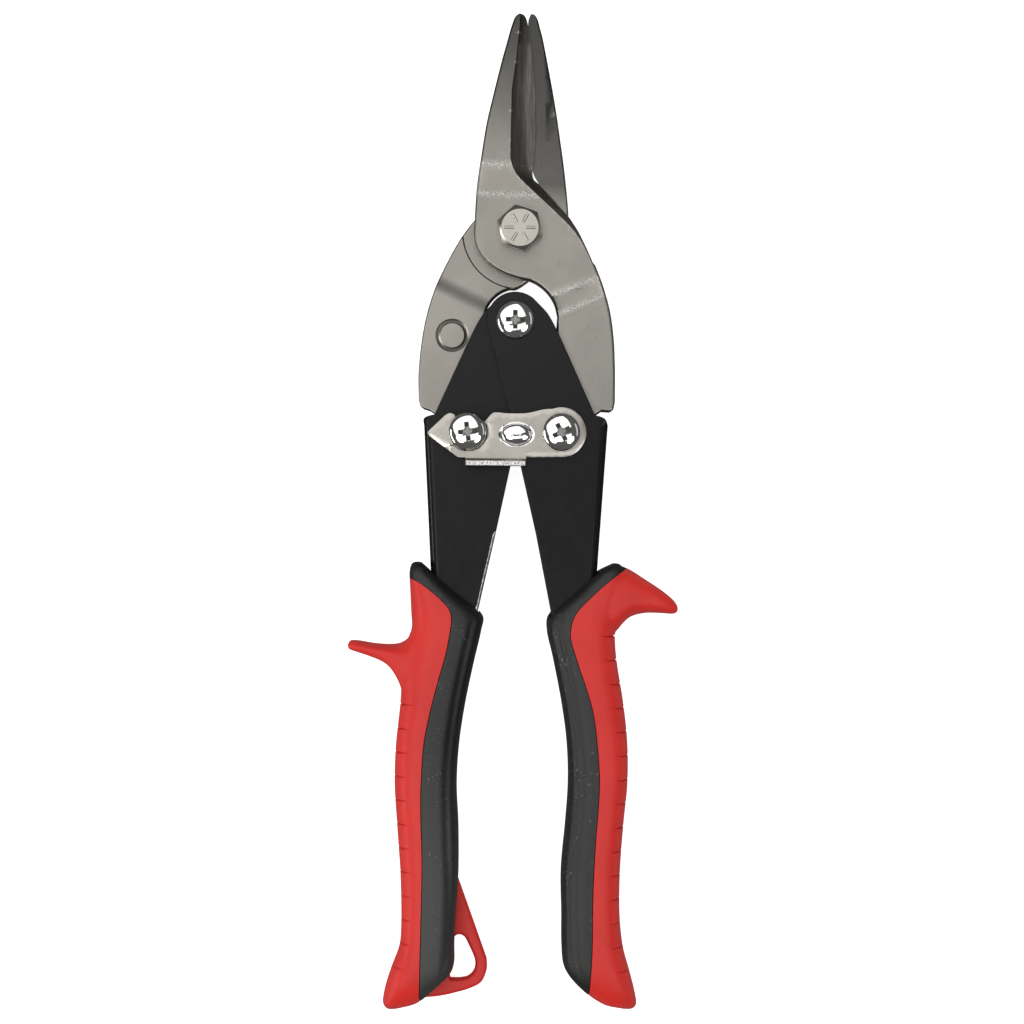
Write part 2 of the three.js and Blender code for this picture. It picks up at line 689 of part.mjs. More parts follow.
const RIGHT_GRIP = [
  [-83.2, 25.0, 26.6, 7.0],
  [-85.5, 20.6, 27.6, 8.6],
  [-90, 15.4, 27.4, 9.4],
  [-95.6, 9.2, 26.4, 9.7],
  [-100, 8.5, 25.6, 10],
  [-107, 10.1, 26.0, 10],
  [-118, 12.3, 27.8, 10],
  [-128, 13.7, 28.9, 10],
  [-138, 14.1, 29.0, 10],
  [-148, 13.5, 28.1, 10],
  [-160, 12.5, 27.3, 10],
  [-171, 12.7, 27.3, 10],
  [-179, 12.8, 28.2, 10],
  [-184.5, 13.6, 29.7, 10],
  [-189.3, 17.5, 31.0, 9.2],
  [-192.8, 22.4, 31.7, 7.8],
  [-194.3, 25.6, 31.5, 5.8],
  [-195.0, 27.9, 31.0, 3.6],
];
const RIGHT_GUARD = [
  [22, -100.5, -84.8, 9.0],
  [26, -99.8, -83.4, 8.8],
  [29.5, -96.8, -84.8, 8.2],
  [33, -95.5, -87.0, 7.4],
  [37, -95.5, -89.6, 6.6],
  [40, -95.7, -92.0, 5.4],
  [41.2, -95.2, -93.6, 4.4],
];
const LEFT_SEAM = [
  [-15.3, -98], [-17.4, -108.5], [-19.5, -117], [-21.5, -126], [-22.3, -136], [-22.1, -158], [-22.6, -186],
];
const RIGHT_SEAM = [
  [14.3, -100.5], [16.6, -109.2], [19.2, -117], [21.0, -127], [21.6, -138], [20.6, -157.6], [20.1, -184],
];

// The half of space on the red side of a seam, moved sideways to leave the gap.
// The seam runs up to the mouth's outer corner and down to the grip's end.
function redSide(seam, side, shift) {
  const far = 60 * side;
  const beyond = 5;
  const line = seam.map(([x, y]) => [x + shift, y]);
  const mouth = [25.4 * side + shift, -86.8];
  const end = [line[line.length - 1][0], -200];
  const shape = outline(
    [[far, -60], [29 * side + shift, -60]],
    [mouth],
    [[20 * side + shift, -90.6], line[0], ...line.slice(1)],
    [end],
    [[far, -200]],
  );
  return slab(shape, -beyond, GRIP_THICKNESS + beyond);
}

function grip(side, body, seam, channelLow) {
  const pocketTop = channelLow + CHANNEL_DEPTH + GRIP_GAP;
  const pocket = slab(handleOutline(GRIP_GAP), channelLow - GRIP_GAP, pocketTop);
  const room = side < 0 ? pocket.mirror([1, 0, 0]) : pocket;
  const hollow = body.subtract(room);
  return {
    shell: hollow.intersect(redSide(seam, side, (side * GRIP_GAP) / 2)),
    insert: hollow.subtract(redSide(seam, side, (-side * GRIP_GAP) / 2)),
  };
}

// The flat hanging loop moulded on the end of the left shell, behind the insert's inner side.
function hangLoop() {
  const shape = outline(
    [[-23.4, -176], [-13.2, -161]],
    [[-5.9, -182.9]],
    [[-5.7, -184.9], [-6.5, -187.4], [-8.2, -189.6], [-12.5, -191], [-22.4, -193.2]],
  );
  const hole = outline(
    [[-13.6, -177.2], [-11.6, -177.3], [-9.1, -182.3], [-9.0, -185.8], [-10.5, -187.5]],
    [[-14.6, -187.8]],
    [[-14.2, -184]],
  );
  return slab(shape, LOOP_LOW, LOOP_HIGH).subtract(slab(hole, 0, GRIP_THICKNESS));
}

const rightGrip = grip(1, gripBody(RIGHT_GRIP).add(guard(RIGHT_GUARD, 1)), RIGHT_SEAM, RIGHT_CHANNEL_Z);
addNode('right_grip', rightGrip.shell, RED_PLASTIC, handles);
addNode('right_grip_insert', rightGrip.insert, BLACK_RUBBER, handles);

const leftGrip = grip(-1, gripBody(LEFT_GRIP).add(guard(LEFT_GUARD, -1)), LEFT_SEAM, LEFT_CHANNEL_Z);
const loopBed = slab(outline(
  [[-26, -176], [-12, -158]],
  [[-4, -183], [-5, -192], [-26, -197]],
), LOOP_LOW - GRIP_GAP, LOOP_HIGH + GRIP_GAP);
addNode('left_grip', leftGrip.shell.add(hangLoop()), RED_PLASTIC, handles);
addNode('left_grip_insert', leftGrip.insert.subtract(loopBed), BLACK_RUBBER, handles);

export default group;
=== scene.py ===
"""Aviation snips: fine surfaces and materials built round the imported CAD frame.

Outlines are in millimetres in each piece's drawn frame and become metres when a mesh is made.
Blades are drawn upright on the main pivot, handles round the handles' centre line.
"""

import json
import math

import bpy
import numpy as np
from mathutils import Matrix, Vector
from mathutils.geometry import delaunay_2d_cdt

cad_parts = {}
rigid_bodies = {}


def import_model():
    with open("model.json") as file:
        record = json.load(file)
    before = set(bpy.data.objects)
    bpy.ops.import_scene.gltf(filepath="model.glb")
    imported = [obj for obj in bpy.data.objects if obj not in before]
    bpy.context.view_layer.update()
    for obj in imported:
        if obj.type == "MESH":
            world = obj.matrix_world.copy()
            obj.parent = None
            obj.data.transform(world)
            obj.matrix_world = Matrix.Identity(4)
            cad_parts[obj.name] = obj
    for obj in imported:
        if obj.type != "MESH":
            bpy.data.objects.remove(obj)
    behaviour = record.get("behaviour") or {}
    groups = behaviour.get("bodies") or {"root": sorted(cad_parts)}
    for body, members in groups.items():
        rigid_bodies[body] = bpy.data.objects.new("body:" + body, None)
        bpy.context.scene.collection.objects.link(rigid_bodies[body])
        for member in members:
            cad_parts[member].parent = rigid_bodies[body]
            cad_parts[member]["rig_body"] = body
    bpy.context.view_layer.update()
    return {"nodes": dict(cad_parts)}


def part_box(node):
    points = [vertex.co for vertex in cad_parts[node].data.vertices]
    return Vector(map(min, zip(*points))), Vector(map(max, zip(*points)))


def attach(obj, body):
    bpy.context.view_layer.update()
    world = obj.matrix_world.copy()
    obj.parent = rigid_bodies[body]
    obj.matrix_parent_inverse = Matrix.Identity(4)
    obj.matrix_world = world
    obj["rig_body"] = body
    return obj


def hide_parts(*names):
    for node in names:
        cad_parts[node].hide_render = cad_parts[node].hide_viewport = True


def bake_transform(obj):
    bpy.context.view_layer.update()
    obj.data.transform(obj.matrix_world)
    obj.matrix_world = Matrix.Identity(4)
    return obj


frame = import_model()

MM = 0.001
SHARP_ANGLE = math.radians(32)
PLATE_ANGLE = math.radians(28)
FACET_ANGLE = math.radians(25)
LEVEL = Matrix.Identity(4)


# ---- Places and levels taken from the frame, in millimetres ----

def middle(node):
    low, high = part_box(node)
    return (np.array(low) + np.array(high)) / 2 / MM


def bottom_of(node):
    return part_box(node)[0].z / MM


def top_of(node):
    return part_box(node)[1].z / MM


SHEAR_PLANE = middle("return_spring")[2]
HANDLE_PIVOT = middle("handle_pivot_screw")
RIGHT_LINK = middle("right_link_screw")
HANDLE_X = HANDLE_PIVOT[0]
LINK_SPAN = RIGHT_LINK[0] - HANDLE_X
LINK_Y = RIGHT_LINK[1]
PIVOT_Y = HANDLE_PIVOT[1]

BLADE_GAP = 0.3
BLADE_LOW = SHEAR_PLANE + BLADE_GAP / 2
BLADE_THICKNESS = 5.0
BLADE_TOP = BLADE_LOW + BLADE_THICKNESS
BLADE_LEAN = math.radians(-1.5)
JOGGLE = 1.5
LAND = 0.8
CHANNEL_LOW = bottom_of("right_handle")
CHANNEL_HIGH = top_of("right_handle")
SHEET = 2.0
BOLT_HOLE = 3.15
POST_HOLE = 3.65
HALF_GRIP = 10.0

TURNED_OVER = Matrix.Translation((0, 0, 2 * SHEAR_PLANE)) @ Matrix.Rotation(math.pi, 4, "Y")
BLADES = Matrix.Rotation(BLADE_LEAN, 4, "Z")
HANDLES = Matrix.Translation((HANDLE_X, 0, 0))


# ---- Curves ----

def smooth_line(points, step=0.5):
    """Points about a step apart on the smooth curve through the given ones."""
    given = np.array(points, float)
    before = 2 * given[0] - given[1]
    after = 2 * given[-1] - given[-2]
    padded = np.vstack([before, given, after])
    parts = []
    for row in range(len(given) - 1):
        a, b, c, d = padded[row:row + 4]
        count = max(1, round(np.linalg.norm(c - b) / step))
        t = (np.arange(count) / count)[:, None]
        square = (2 * a - 5 * b + 4 * c - d) * t ** 2
        cube = (3 * b - a - 3 * c + d) * t ** 3
        parts.append(0.5 * (2 * b + (c - a) * t + square + cube))
    return np.vstack([*parts, given[-1:]])


def arc(centre, radius, start, end, count=12):
    """Points on an arc, with its ends in degrees."""
    angles = np.radians(np.linspace(start, end, count))
    return [(centre[0] + radius * math.cos(a), centre[1] + radius * math.sin(a)) for a in angles]


class Loop:
    """A closed outline of stretches, each with points and the rim radii of its upper and lower edges.
    A stretch starts where the one before it ends, and the last ends at the first point."""

    def __init__(self, stretches, step=0.5):
        points, upper, lower = [], [], []
        for given, rim_up, rim_down in stretches:
            fine = smooth_line(given, step)[:-1]
            points += list(fine)
            upper += [rim_up] * len(fine)
            lower += [rim_down] * len(fine)
        self.points = np.array(points)
        self.upper = np.array(upper)
        self.lower = np.array(lower)


def straight_runs(points, rim=0):
    """Straight stretches from point to point."""
    return [(pair, rim, rim) for pair in zip(points, points[1:])]


def round_hole(centre, radius):
    """A clockwise circle with sharp rims."""
    sides = 48
    loop = Loop([(arc(centre, radius, 0, 360, sides + 1), 0.0, 0.0)], step=9)
    loop.points = loop.points[::-1]
    return loop


def reversed_loop(loop):
    loop.points = loop.points[::-1]
    loop.upper = np.roll(loop.upper[::-1], -1)
    loop.lower = np.roll(loop.lower[::-1], -1)
    return loop


def turned_axes(angle):
    """Directions along and across a level line at an angle in radians."""
    along = np.array([math.cos(angle), math.sin(angle), 0])
    return along, np.array([-math.sin(angle), math.cos(angle), 0])


def segment_distance(at, start, end):
    """Distances between points (rows) and segments (columns)."""
    along = end - start
    length = np.maximum((along ** 2).sum(1), 1e-12)
    t = np.clip(((at[:, None, :] - start) * along).sum(2) / length, 0, 1)
    nearest = start + t[..., None] * along
    return np.linalg.norm(at[:, None, :] - nearest, axis=2)


def line_distance(at, line):
    line = np.array(line, float)
    return segment_distance(at, line[:-1], line[1:]).min(1)


def inside(at, polygon):
    """Which points lie within a polygon, by counting the sides to their right."""
    start = polygon
    end = np.roll(polygon, -1, axis=0)
    above_start = start[:, 1] > at[:, None, 1]
    above_end = end[:, 1] > at[:, None, 1]
    rise = np.where(end[:, 1] == start[:, 1], 1e-12, end[:, 1] - start[:, 1])
    crossing = (end[:, 0] - start[:, 0]) * (at[:, None, 1] - start[:, 1]) / rise + start[:, 0]
    hits = (above_start != above_end) & (at[:, None, 0] < crossing)
    return hits.sum(1) % 2 == 1


# ---- Meshes ----

def make_object(name, vertices, faces, matrix=LEVEL):
    """A piece from places in millimetres, which a matrix moves and turns before they become metres."""
    mesh = bpy.data.meshes.new(name)
    mesh.from_pydata([tuple(map(float, v)) for v in vertices], [], [tuple(map(int, f)) for f in faces])
    mesh.transform(Matrix.Scale(MM, 4) @ matrix)
    mesh.validate()
    mesh.update()
    if signed_volume(mesh) < 0:
        mesh.flip_normals()
    piece = bpy.data.objects.new(name, mesh)
    bpy.context.scene.collection.objects.link(piece)
    return piece


def signed_volume(mesh):
    """Negative where a closed mesh is inside out."""
    mesh.calc_loop_triangles()
    places = np.empty(len(mesh.vertices) * 3, np.float32)
    mesh.vertices.foreach_get("co", places)
    index = np.empty(len(mesh.loop_triangles) * 3, np.int32)
    mesh.loop_triangles.foreach_get("vertices", index)
    corners = places.reshape(-1, 3)[index.reshape(-1, 3)].astype(float)
    return (corners[:, 0] * np.cross(corners[:, 1], corners[:, 2])).sum()


def shade(piece, angle=SHARP_ANGLE):
    """Smooths a piece but for its sharp edges."""
    mesh = piece.data
    mesh.polygons.foreach_set("use_smooth", [True] * len(mesh.polygons))
    mesh.set_sharp_from_angle(angle=angle)
    level_flats(mesh)
    mesh.update()
    return piece


def level_flats(mesh):
    """Sets upright normals on level faces and where soft rims meet them."""
    upright, tangent = 0.9999, 0.88
    side = np.zeros(len(mesh.vertices))
    for face in mesh.polygons:
        if abs(face.normal.z) > upright:
            for vertex in face.vertices:
                side[vertex] = math.copysign(1, face.normal.z)
    normals = np.zeros((len(mesh.loops), 3))
    for face in mesh.polygons:
        for corner, vertex in zip(face.loop_indices, face.vertices):
            if side[vertex] * face.normal.z > tangent:
                normals[corner] = (0, 0, side[vertex])
    mesh.normals_split_custom_set(normals.tolist())


def apply_modifiers(piece):
    graph = bpy.context.evaluated_depsgraph_get()
    made = bpy.data.meshes.new_from_object(piece.evaluated_get(graph))
    piece.modifiers.clear()
    piece.data = made
    return piece


def combine(piece, tool, operation):
    """Joins or cuts a closed piece with a closed tool, which is used up."""
    modifier = piece.modifiers.new("combine", "BOOLEAN")
    modifier.object = tool
    modifier.operation = operation
    modifier.solver = "MANIFOLD"
    apply_modifiers(piece)
    bpy.data.objects.remove(tool)
    return piece


def copy_of(piece, name):
    twin = piece.copy()
    twin.data = piece.data.copy()
    twin.name = name
    bpy.context.scene.collection.objects.link(twin)
    return twin


def rim_drop(distance, radius):
    """How far a rounded rim lies below the flat, at a distance in from the outline."""
    inset = np.clip(radius - distance, 0, None)
    return radius - np.sqrt(np.maximum(radius ** 2 - inset ** 2, 0))


def ring_points(loops):
    """Rows of points just inside the outlines, where the rims curve."""
    made = []
    for loop in loops:
        points = loop.points
        ahead = np.roll(points, -1, axis=0)
        along = ahead - points
        along /= np.maximum(np.linalg.norm(along, axis=1), 1e-9)[:, None]
        normal = np.stack([-along[:, 1], along[:, 0]], 1)
        normal = normal + np.roll(normal, 1, axis=0)
        normal /= np.maximum(np.linalg.norm(normal, axis=1), 1e-9)[:, None]
        reach = np.maximum(loop.upper, loop.lower)
        for share in (0.07, 0.24, 0.5, 0.82, 1.08):
            moved = points + normal * (reach * share)[:, None]
            kept = reach * share > 0.015
            made.append(np.column_stack([moved[kept], (reach * share)[kept]]))
    rows = np.vstack(made)
    return rows[:, :2], rows[:, 2]


def plate(name, loops, top, bottom, matrix=LEVEL, lines=(), grid=1.3):
    """A closed plate. The first loop runs anticlockwise and the holes clockwise.
    top and bottom give heights for rows of points, before the rims are rounded off."""
    starts = np.vstack([loop.points for loop in loops])
    ends = np.vstack([np.roll(loop.points, -1, axis=0) for loop in loops])
    upper = np.concatenate([loop.upper for loop in loops])
    lower = np.concatenate([loop.lower for loop in loops])

    def within(at):
        hit = inside(at, loops[0].points)
        for hole in loops[1:]:
            hit &= ~inside(at, hole.points)
        return hit

    rings, ring_depth = ring_points(loops)
    distance = segment_distance(rings, starts, ends).min(1)
    rings = rings[(distance > 0.93 * ring_depth) & within(rings)]
    low, high = starts.min(0), starts.max(0)
    xs, ys = np.meshgrid(np.arange(low[0], high[0], grid), np.arange(low[1], high[1], grid))
    ys = ys + (np.arange(xs.shape[1]) % 2) * grid / 2
    fill = np.column_stack([xs.ravel(), ys.ravel()])
    fill = fill[within(fill)]
    margin = np.maximum(upper, lower) + grid * 0.45
    clear = (segment_distance(fill, starts, ends) > margin).all(1)
    fill = fill[clear]

    points = [loop.points for loop in loops]
    edges = []
    offset = 0
    for loop in loops:
        count = len(loop.points)
        edges += [(offset + i, offset + (i + 1) % count) for i in range(count)]
        offset += count
    for line in lines:
        line = np.array(line, float)
        count = len(line)
        points.append(line)
        edges += [(offset + i, offset + i + 1) for i in range(count - 1)]
        offset += count
        if len(fill):
            fill = fill[line_distance(fill, line) > grid * 0.3]
        rings = rings[line_distance(rings, line) > 0.06]
    points += [rings, fill]
    flat = np.vstack(points)
    found = delaunay_2d_cdt([tuple(p) for p in flat], edges, [], 0, 1e-5)
    at = np.array([tuple(v) for v in found[0]])
    triangles = np.array([list(f) for f in found[2]])
    corners = at[triangles]
    first = corners[:, 1] - corners[:, 0]
    second = corners[:, 2] - corners[:, 0]
    area = first[:, 0] * second[:, 1] - first[:, 1] * second[:, 0]
    triangles[area < 0] = triangles[area < 0][:, ::-1]
    triangles = triangles[within(corners.mean(1)) & (np.abs(area) > 1e-9)]
    used = np.unique(triangles)
    renumber = np.full(len(at), -1)
    renumber[used] = np.arange(len(used))
    at = at[used]
    triangles = renumber[triangles]

    gaps = segment_distance(at, starts, ends)
    drop_up = rim_drop(gaps, upper[None, :]).max(1)
    drop_down = rim_drop(gaps, lower[None, :]).max(1)
    z_top = (top(at) if callable(top) else np.full(len(at), top)) - drop_up
    z_bottom = (bottom(at) if callable(bottom) else np.full(len(at), bottom)) + drop_down
    z_top = np.maximum(z_top, z_bottom + 0.02)
    count = len(at)
    vertices = np.vstack([np.column_stack([at, z_top]), np.column_stack([at, z_bottom])])
    faces = [tuple(t) for t in triangles] + [tuple(t[::-1] + count) for t in triangles]
    directed = {(int(t[i]), int(t[(i + 1) % 3])) for t in triangles for i in range(3)}
    for a, b in directed:
        if (b, a) not in directed:
            faces.append((b, a, a + count, b + count))
    return make_object(name, vertices, faces, matrix)


def loft(name, rings, matrix=LEVEL):
    """A closed body through rings of equal length, with a fan at each end."""
    rings = np.array(rings, float)
    rows, count, _ = rings.shape
    vertices = list(rings.reshape(-1, 3)) + [rings[0].mean(0), rings[-1].mean(0)]
    faces = []
    for row in range(rows - 1):
        for step in range(count):
            a = row * count + step
            b = row * count + (step + 1) % count
            faces.append((a, b, b + count, a + count))
    last = (rows - 1) * count
    for step in range(count):
        after = (step + 1) % count
        faces.append((rows * count, after, step))
        faces.append((rows * count + 1, last + step, last + after))
    return make_object(name, vertices, faces, matrix)


def turned(name, profile, centre, steps=72):
    """A solid of revolution about a vertical axis. The profile runs up the outside from axis to axis,
    or closes on itself where it keeps off the axis."""
    profile = list(profile)
    open_bore = profile[0][0] > 0
    angles = np.linspace(0, 2 * math.pi, steps, endpoint=False)
    vertices, rows = [], []
    for radius, height in profile:
        if radius == 0:
            rows.append([len(vertices)] * steps)
            vertices.append((centre[0], centre[1], height))
        else:
            rows.append(list(range(len(vertices), len(vertices) + steps)))
            vertices += [
                (centre[0] + radius * math.cos(a), centre[1] + radius * math.sin(a), height)
                for a in angles
            ]
    pairs = list(zip(rows, rows[1:] + rows[:1])) if open_bore else list(zip(rows, rows[1:]))
    faces = []
    for low, high in pairs:
        for step in range(steps):
            after = (step + 1) % steps
            face = [low[step], low[after], high[after], high[step]]
            face = [v for i, v in enumerate(face) if v != face[i - 1]]
            if len(face) > 2:
                faces.append(face)
    return make_object(name, vertices, faces)


def sweep(name, path, section):
    """A closed tube: the section's (across, up) pairs follow a path, up staying close to +Z."""
    path = np.array(path, float)
    tangents = np.gradient(path, axis=0)
    rings = []
    for point, tangent in zip(path, tangents):
        tangent = tangent / np.linalg.norm(tangent)
        across = np.cross(tangent, (0, 0, 1))
        across /= np.linalg.norm(across)
        up = np.cross(across, tangent)
        rings.append([point + across * a + up * b for a, b in section])
    return loft(name, rings)


# ---- Materials ----

class Surface:
    """A Principled material with procedural detail in object coordinates."""

    def __init__(self, name, **sockets):
        self.material = bpy.data.materials.new(name)
        self.material.use_nodes = True
        self.tree = self.material.node_tree
        self.shader = self.tree.nodes["Principled BSDF"]
        for key, value in sockets.items():
            self.shader.inputs[key.replace("_", " ")].default_value = value
        self.place = self.tree.nodes.new("ShaderNodeTexCoord").outputs["Object"]
        self.normal = None

    def node(self, kind, inputs=None, **settings):
        made = self.tree.nodes.new(kind)
        for key, value in settings.items():
            setattr(made, key, value)
        for key, value in (inputs or {}).items():
            if isinstance(value, bpy.types.NodeSocket):
                self.tree.links.new(value, made.inputs[key])
            else:
                made.inputs[key].default_value = value
        return made

    def noise(self, grain, detail=3.0, stretch=(1, 1, 1)):
        """Noise whose features are about grain millimetres across."""
        scaled = self.node("ShaderNodeMapping", {"Vector": self.place, "Scale": stretch})
        inputs = {"Vector": scaled.outputs[0], "Scale": 1 / (grain * MM), "Detail": detail}
        return self.node("ShaderNodeTexNoise", inputs).outputs["Fac"]

    def cells(self, grain):
        inputs = {"Vector": self.place, "Scale": 1 / (grain * MM)}
        return self.node("ShaderNodeTexVoronoi", inputs).outputs["Distance"]

    def spread(self, value, low, high, to_low=0.0, to_high=1.0):
        """Maps a range of a value onto another range, clamped."""
        inputs = {"Value": value, "From Min": low, "From Max": high, "To Min": to_low, "To Max": to_high}
        return self.node("ShaderNodeMapRange", inputs).outputs["Result"]

    def math(self, operation, first, second):
        return self.node("ShaderNodeMath", {0: first, 1: second}, operation=operation).outputs[0]

    def mix(self, share, first, second):
        made = self.node("ShaderNodeMix", {"Factor": share}, data_type="RGBA")
        for socket, value in zip([s for s in made.inputs if s.type == "RGBA"], (first, second)):
            if isinstance(value, bpy.types.NodeSocket):
                self.tree.links.new(value, socket)
            else:
                socket.default_value = value
        return [s for s in made.outputs if s.type == "RGBA"][0]

    def clouded(self, grain, detail, first, second):
        """A soft drift between two colours."""
        return self.mix(self.spread(self.noise(grain, detail), 0.35, 0.65), first, second)

    def roughen(self, grain, detail, low, high):
        rough = self.spread(self.noise(grain, detail), 0.3, 0.7, low, high)
        return self.link("Roughness", rough)

    def attribute(self, name):
        return self.node("ShaderNodeAttribute", attribute_name=name).outputs["Fac"]

    def axis(self, letter):
        return self.node("ShaderNodeSeparateXYZ", {0: self.place}).outputs[letter]

    def link(self, socket, value):
        self.tree.links.new(value, self.shader.inputs[socket])
        return self

    def bump(self, height, depth, strength=1.0):
        """Adds a bump of about depth millimetres."""
        inputs = {"Height": height, "Distance": depth * MM, "Strength": strength}
        if self.normal is not None:
            inputs["Normal"] = self.normal
        self.normal = self.node("ShaderNodeBump", inputs).outputs["Normal"]
        return self.link("Normal", self.normal)


def grey(value, warmth=0.0):
    return (value * (1 + warmth), value, value * (1 - 2 * warmth), 1)


def blade_steel():
    """Satin plated forging with fine pits, painted darker towards the tip and on shaded parts as painted
    shade, with scuffed coining lines brightened as a painted highlight.
    """
    made = Surface("blade_steel", Metallic=1.0)
    cloud = made.spread(made.noise(14, 2), 0.35, 0.65)
    plate_tone = made.mix(cloud, grey(0.25, 0.05), grey(0.29, 0.05))
    # painted shade: the jaw's near-black tone towards the tip stands in for its dark reflection
    painted_jaw_shade = made.mix(cloud, grey(0.035, 0.02), grey(0.048, 0.02))
    toward_tip = made.math("POWER", made.spread(made.axis("Y"), 0.015, 0.056), 0.65)
    body = made.mix(toward_tip, plate_tone, painted_jaw_shade)
    ground = made.attribute("ground")
    streaks = made.spread(made.noise(0.5, 3, (1, 0.06, 1)), 0.35, 0.65)
    body = made.mix(ground, body, made.mix(streaks, grey(0.24, 0.05), grey(0.36, 0.05)))
    # painted shade: darkens the pressed joggle band, the ground hollow and the jaw's shear side
    body = made.mix(made.attribute("painted_shade"), body, grey(0.06, 0.03))
    # real coining scuffs plus a painted highlight: paler metal along the joggle and rise creases
    scuff_and_highlight = made.attribute("scuff_and_highlight")
    scuffs = made.spread(made.noise(0.35, 4), 0.42, 0.62)
    bright = made.math("MULTIPLY", scuff_and_highlight, scuffs)
    body = made.mix(bright, body, grey(0.52, 0.03))
    made.link("Base Color", body)
    made.roughen(0.5, 4, 0.30, 0.40)
    made.bump(made.noise(0.22, 3), 0.006)
    made.bump(made.spread(made.noise(2.2, 2), 0.60, 0.72), 0.02)
    made.bump(made.math("MULTIPLY", scuff_and_highlight, made.noise(0.45, 4)), 0.12)
    return made.material


def nickel_plate():
    """Satin nickel with faint rolling lines."""
    made = Surface("nickel_plate", Metallic=1.0)
    made.link("Base Color", made.clouded(6, 3, grey(0.38, 0.05), grey(0.43, 0.05)))
    made.roughen(1.5, 3, 0.27, 0.31)
    made.bump(made.noise(0.5, 2, (0.15, 1, 1)), 0.0006)
    made.bump(made.spread(made.noise(1.8, 2), 0.60, 0.76), 0.0015)
    return made.material


def bright_chrome():
    """Mirror chrome with very fine polishing scratches."""
    made = Surface("bright_chrome", Metallic=1.0)
    made.link("Base Color", made.mix(made.noise(3, 2), grey(0.80, 0.01), grey(0.90, 0.01)))
    made.roughen(0.8, 3, 0.05, 0.10)
    made.bump(made.noise(0.5, 2), 0.002)
    return made.material


def sheared_edge():
    """Rough bright steel where sheet was sheared and not painted."""
    made = Surface("sheared_edge", Metallic=1.0)
    streaks = made.noise(0.35, 4, (1, 0.5, 0.3))
    made.link("Base Color", made.mix(made.spread(streaks, 0.35, 0.65), grey(0.25, 0.02), grey(0.85, 0.02)))
    made.link("Roughness", made.spread(streaks, 0.3, 0.7, 0.25, 0.5))
    made.bump(streaks, 0.15)
    return made.material


def spring_wire():
    """Oil-darkened spring wire with drawing lines."""
    made = Surface("spring_wire", Metallic=1.0)
    made.link("Base Color", made.mix(made.noise(1.5, 3), grey(0.20, 0.02), grey(0.32, 0.02)))
    made.roughen(0.3, 3, 0.28, 0.45)
    made.bump(made.noise(0.12, 2), 0.004)
    return made.material


def black_paint():
    """Gloss black paint with slight orange peel and a few specks of dust."""
    made = Surface("black_paint", Specular_IOR_Level=0.22)
    specks = made.spread(made.cells(7.5), 0.020, 0.032, 1.0, 0.0)
    tone = made.mix(made.noise(9, 2), (0.0035, 0.0035, 0.004, 1), (0.0055, 0.0055, 0.006, 1))
    made.link("Base Color", made.mix(specks, tone, grey(0.10)))
    made.roughen(2.5, 3, 0.22, 0.27)
    made.bump(made.noise(1.0, 2), 0.002)
    made.bump(specks, 0.02)
    return made.material


def red_plastic():
    """Soft-touch moulded red with a fine spark-eroded grain."""
    made = Surface("red_plastic", Specular_IOR_Level=0.35)
    cloud = made.spread(made.noise(12, 3), 0.3, 0.7)
    made.link("Base Color", made.mix(cloud, (0.54, 0.015, 0.010, 1), (0.60, 0.020, 0.014, 1)))
    made.roughen(0.6, 4, 0.42, 0.54)
    made.bump(made.noise(0.16, 3), 0.008)
    return made.material


def black_rubber():
    """Soft black rubber: a pebbled grain with pale rubbed specks, and a painted sheen that makes the lower
    part of the left insert paler.
    """
    made = Surface("black_rubber", Specular_IOR_Level=0.5)
    patches = made.spread(made.noise(7, 2), 0.50, 0.62)
    specks = made.spread(made.noise(0.55, 3), 0.62, 0.72)
    rubbed = made.math("MULTIPLY", patches, specks)
    tone = made.mix(made.noise(10, 2), (0.006, 0.006, 0.0055, 1), (0.010, 0.010, 0.009, 1))
    # painted sheen: a paler tone on the lower left, standing in for light on the insert's lower face
    painted_sheen = made.spread(made.axis("Y"), -0.125, -0.165)
    painted_sheen = made.math("MULTIPLY", painted_sheen, made.spread(made.axis("X"), 0.0, -0.018))
    tone = made.mix(painted_sheen, tone, (0.030, 0.031, 0.029, 1))
    made.link("Base Color", made.mix(rubbed, tone, grey(0.14)))
    made.roughen(0.5, 4, 0.42, 0.58)
    made.bump(made.noise(0.4, 4), 0.03)
    return made.material


LOOKS = {
    "blade_steel": blade_steel(),
    "nickel_plate": nickel_plate(),
    "bright_chrome": bright_chrome(),
    "spring_wire": spring_wire(),
    "black_paint": black_paint(),
    "red_plastic": red_plastic(),
    "black_rubber": black_rubber(),
}
SHEARED = sheared_edge()


def dress(piece, node, slot, extra=()):
    """Gives a finished piece its material, and puts it in its CAD node's place on that node's body."""
    piece.data.materials.clear()
    piece.data.materials.append(LOOKS[slot])
    for look in extra:
        piece.data.materials.append(look)
    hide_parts(node)
    if node != "return_spring":
        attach(piece, frame["nodes"][node]["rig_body"])
    return piece


def repaint(piece, index, chosen):
    """Gives another material slot to the faces that chosen(centres, normals) picks, in millimetres."""
    mesh = piece.data
    centres = np.array([p.center for p in mesh.polygons]) / MM
    normals = np.array([p.normal for p in mesh.polygons])
    picked = chosen(centres, normals)
    for polygon, hit in zip(mesh.polygons, picked):
        if hit:
            polygon.material_index = index


# ---- Blades ----

JOGGLE_ANGLE = math.radians(24)
JOGGLE_START = -18.3
JOGGLE_END = -23.0
JAW_RISE_START = 8.6
JAW_RISE_END = 16.0
JAW_RISE = 1.25
JAW_FALL = 3.0
TIP_Y = 54.2
BLADE_ANGLE = math.radians(24)
STEP_RADIUS = 14.2
STEP_HEIGHT = 0.5
STEP_RUN = 0.35

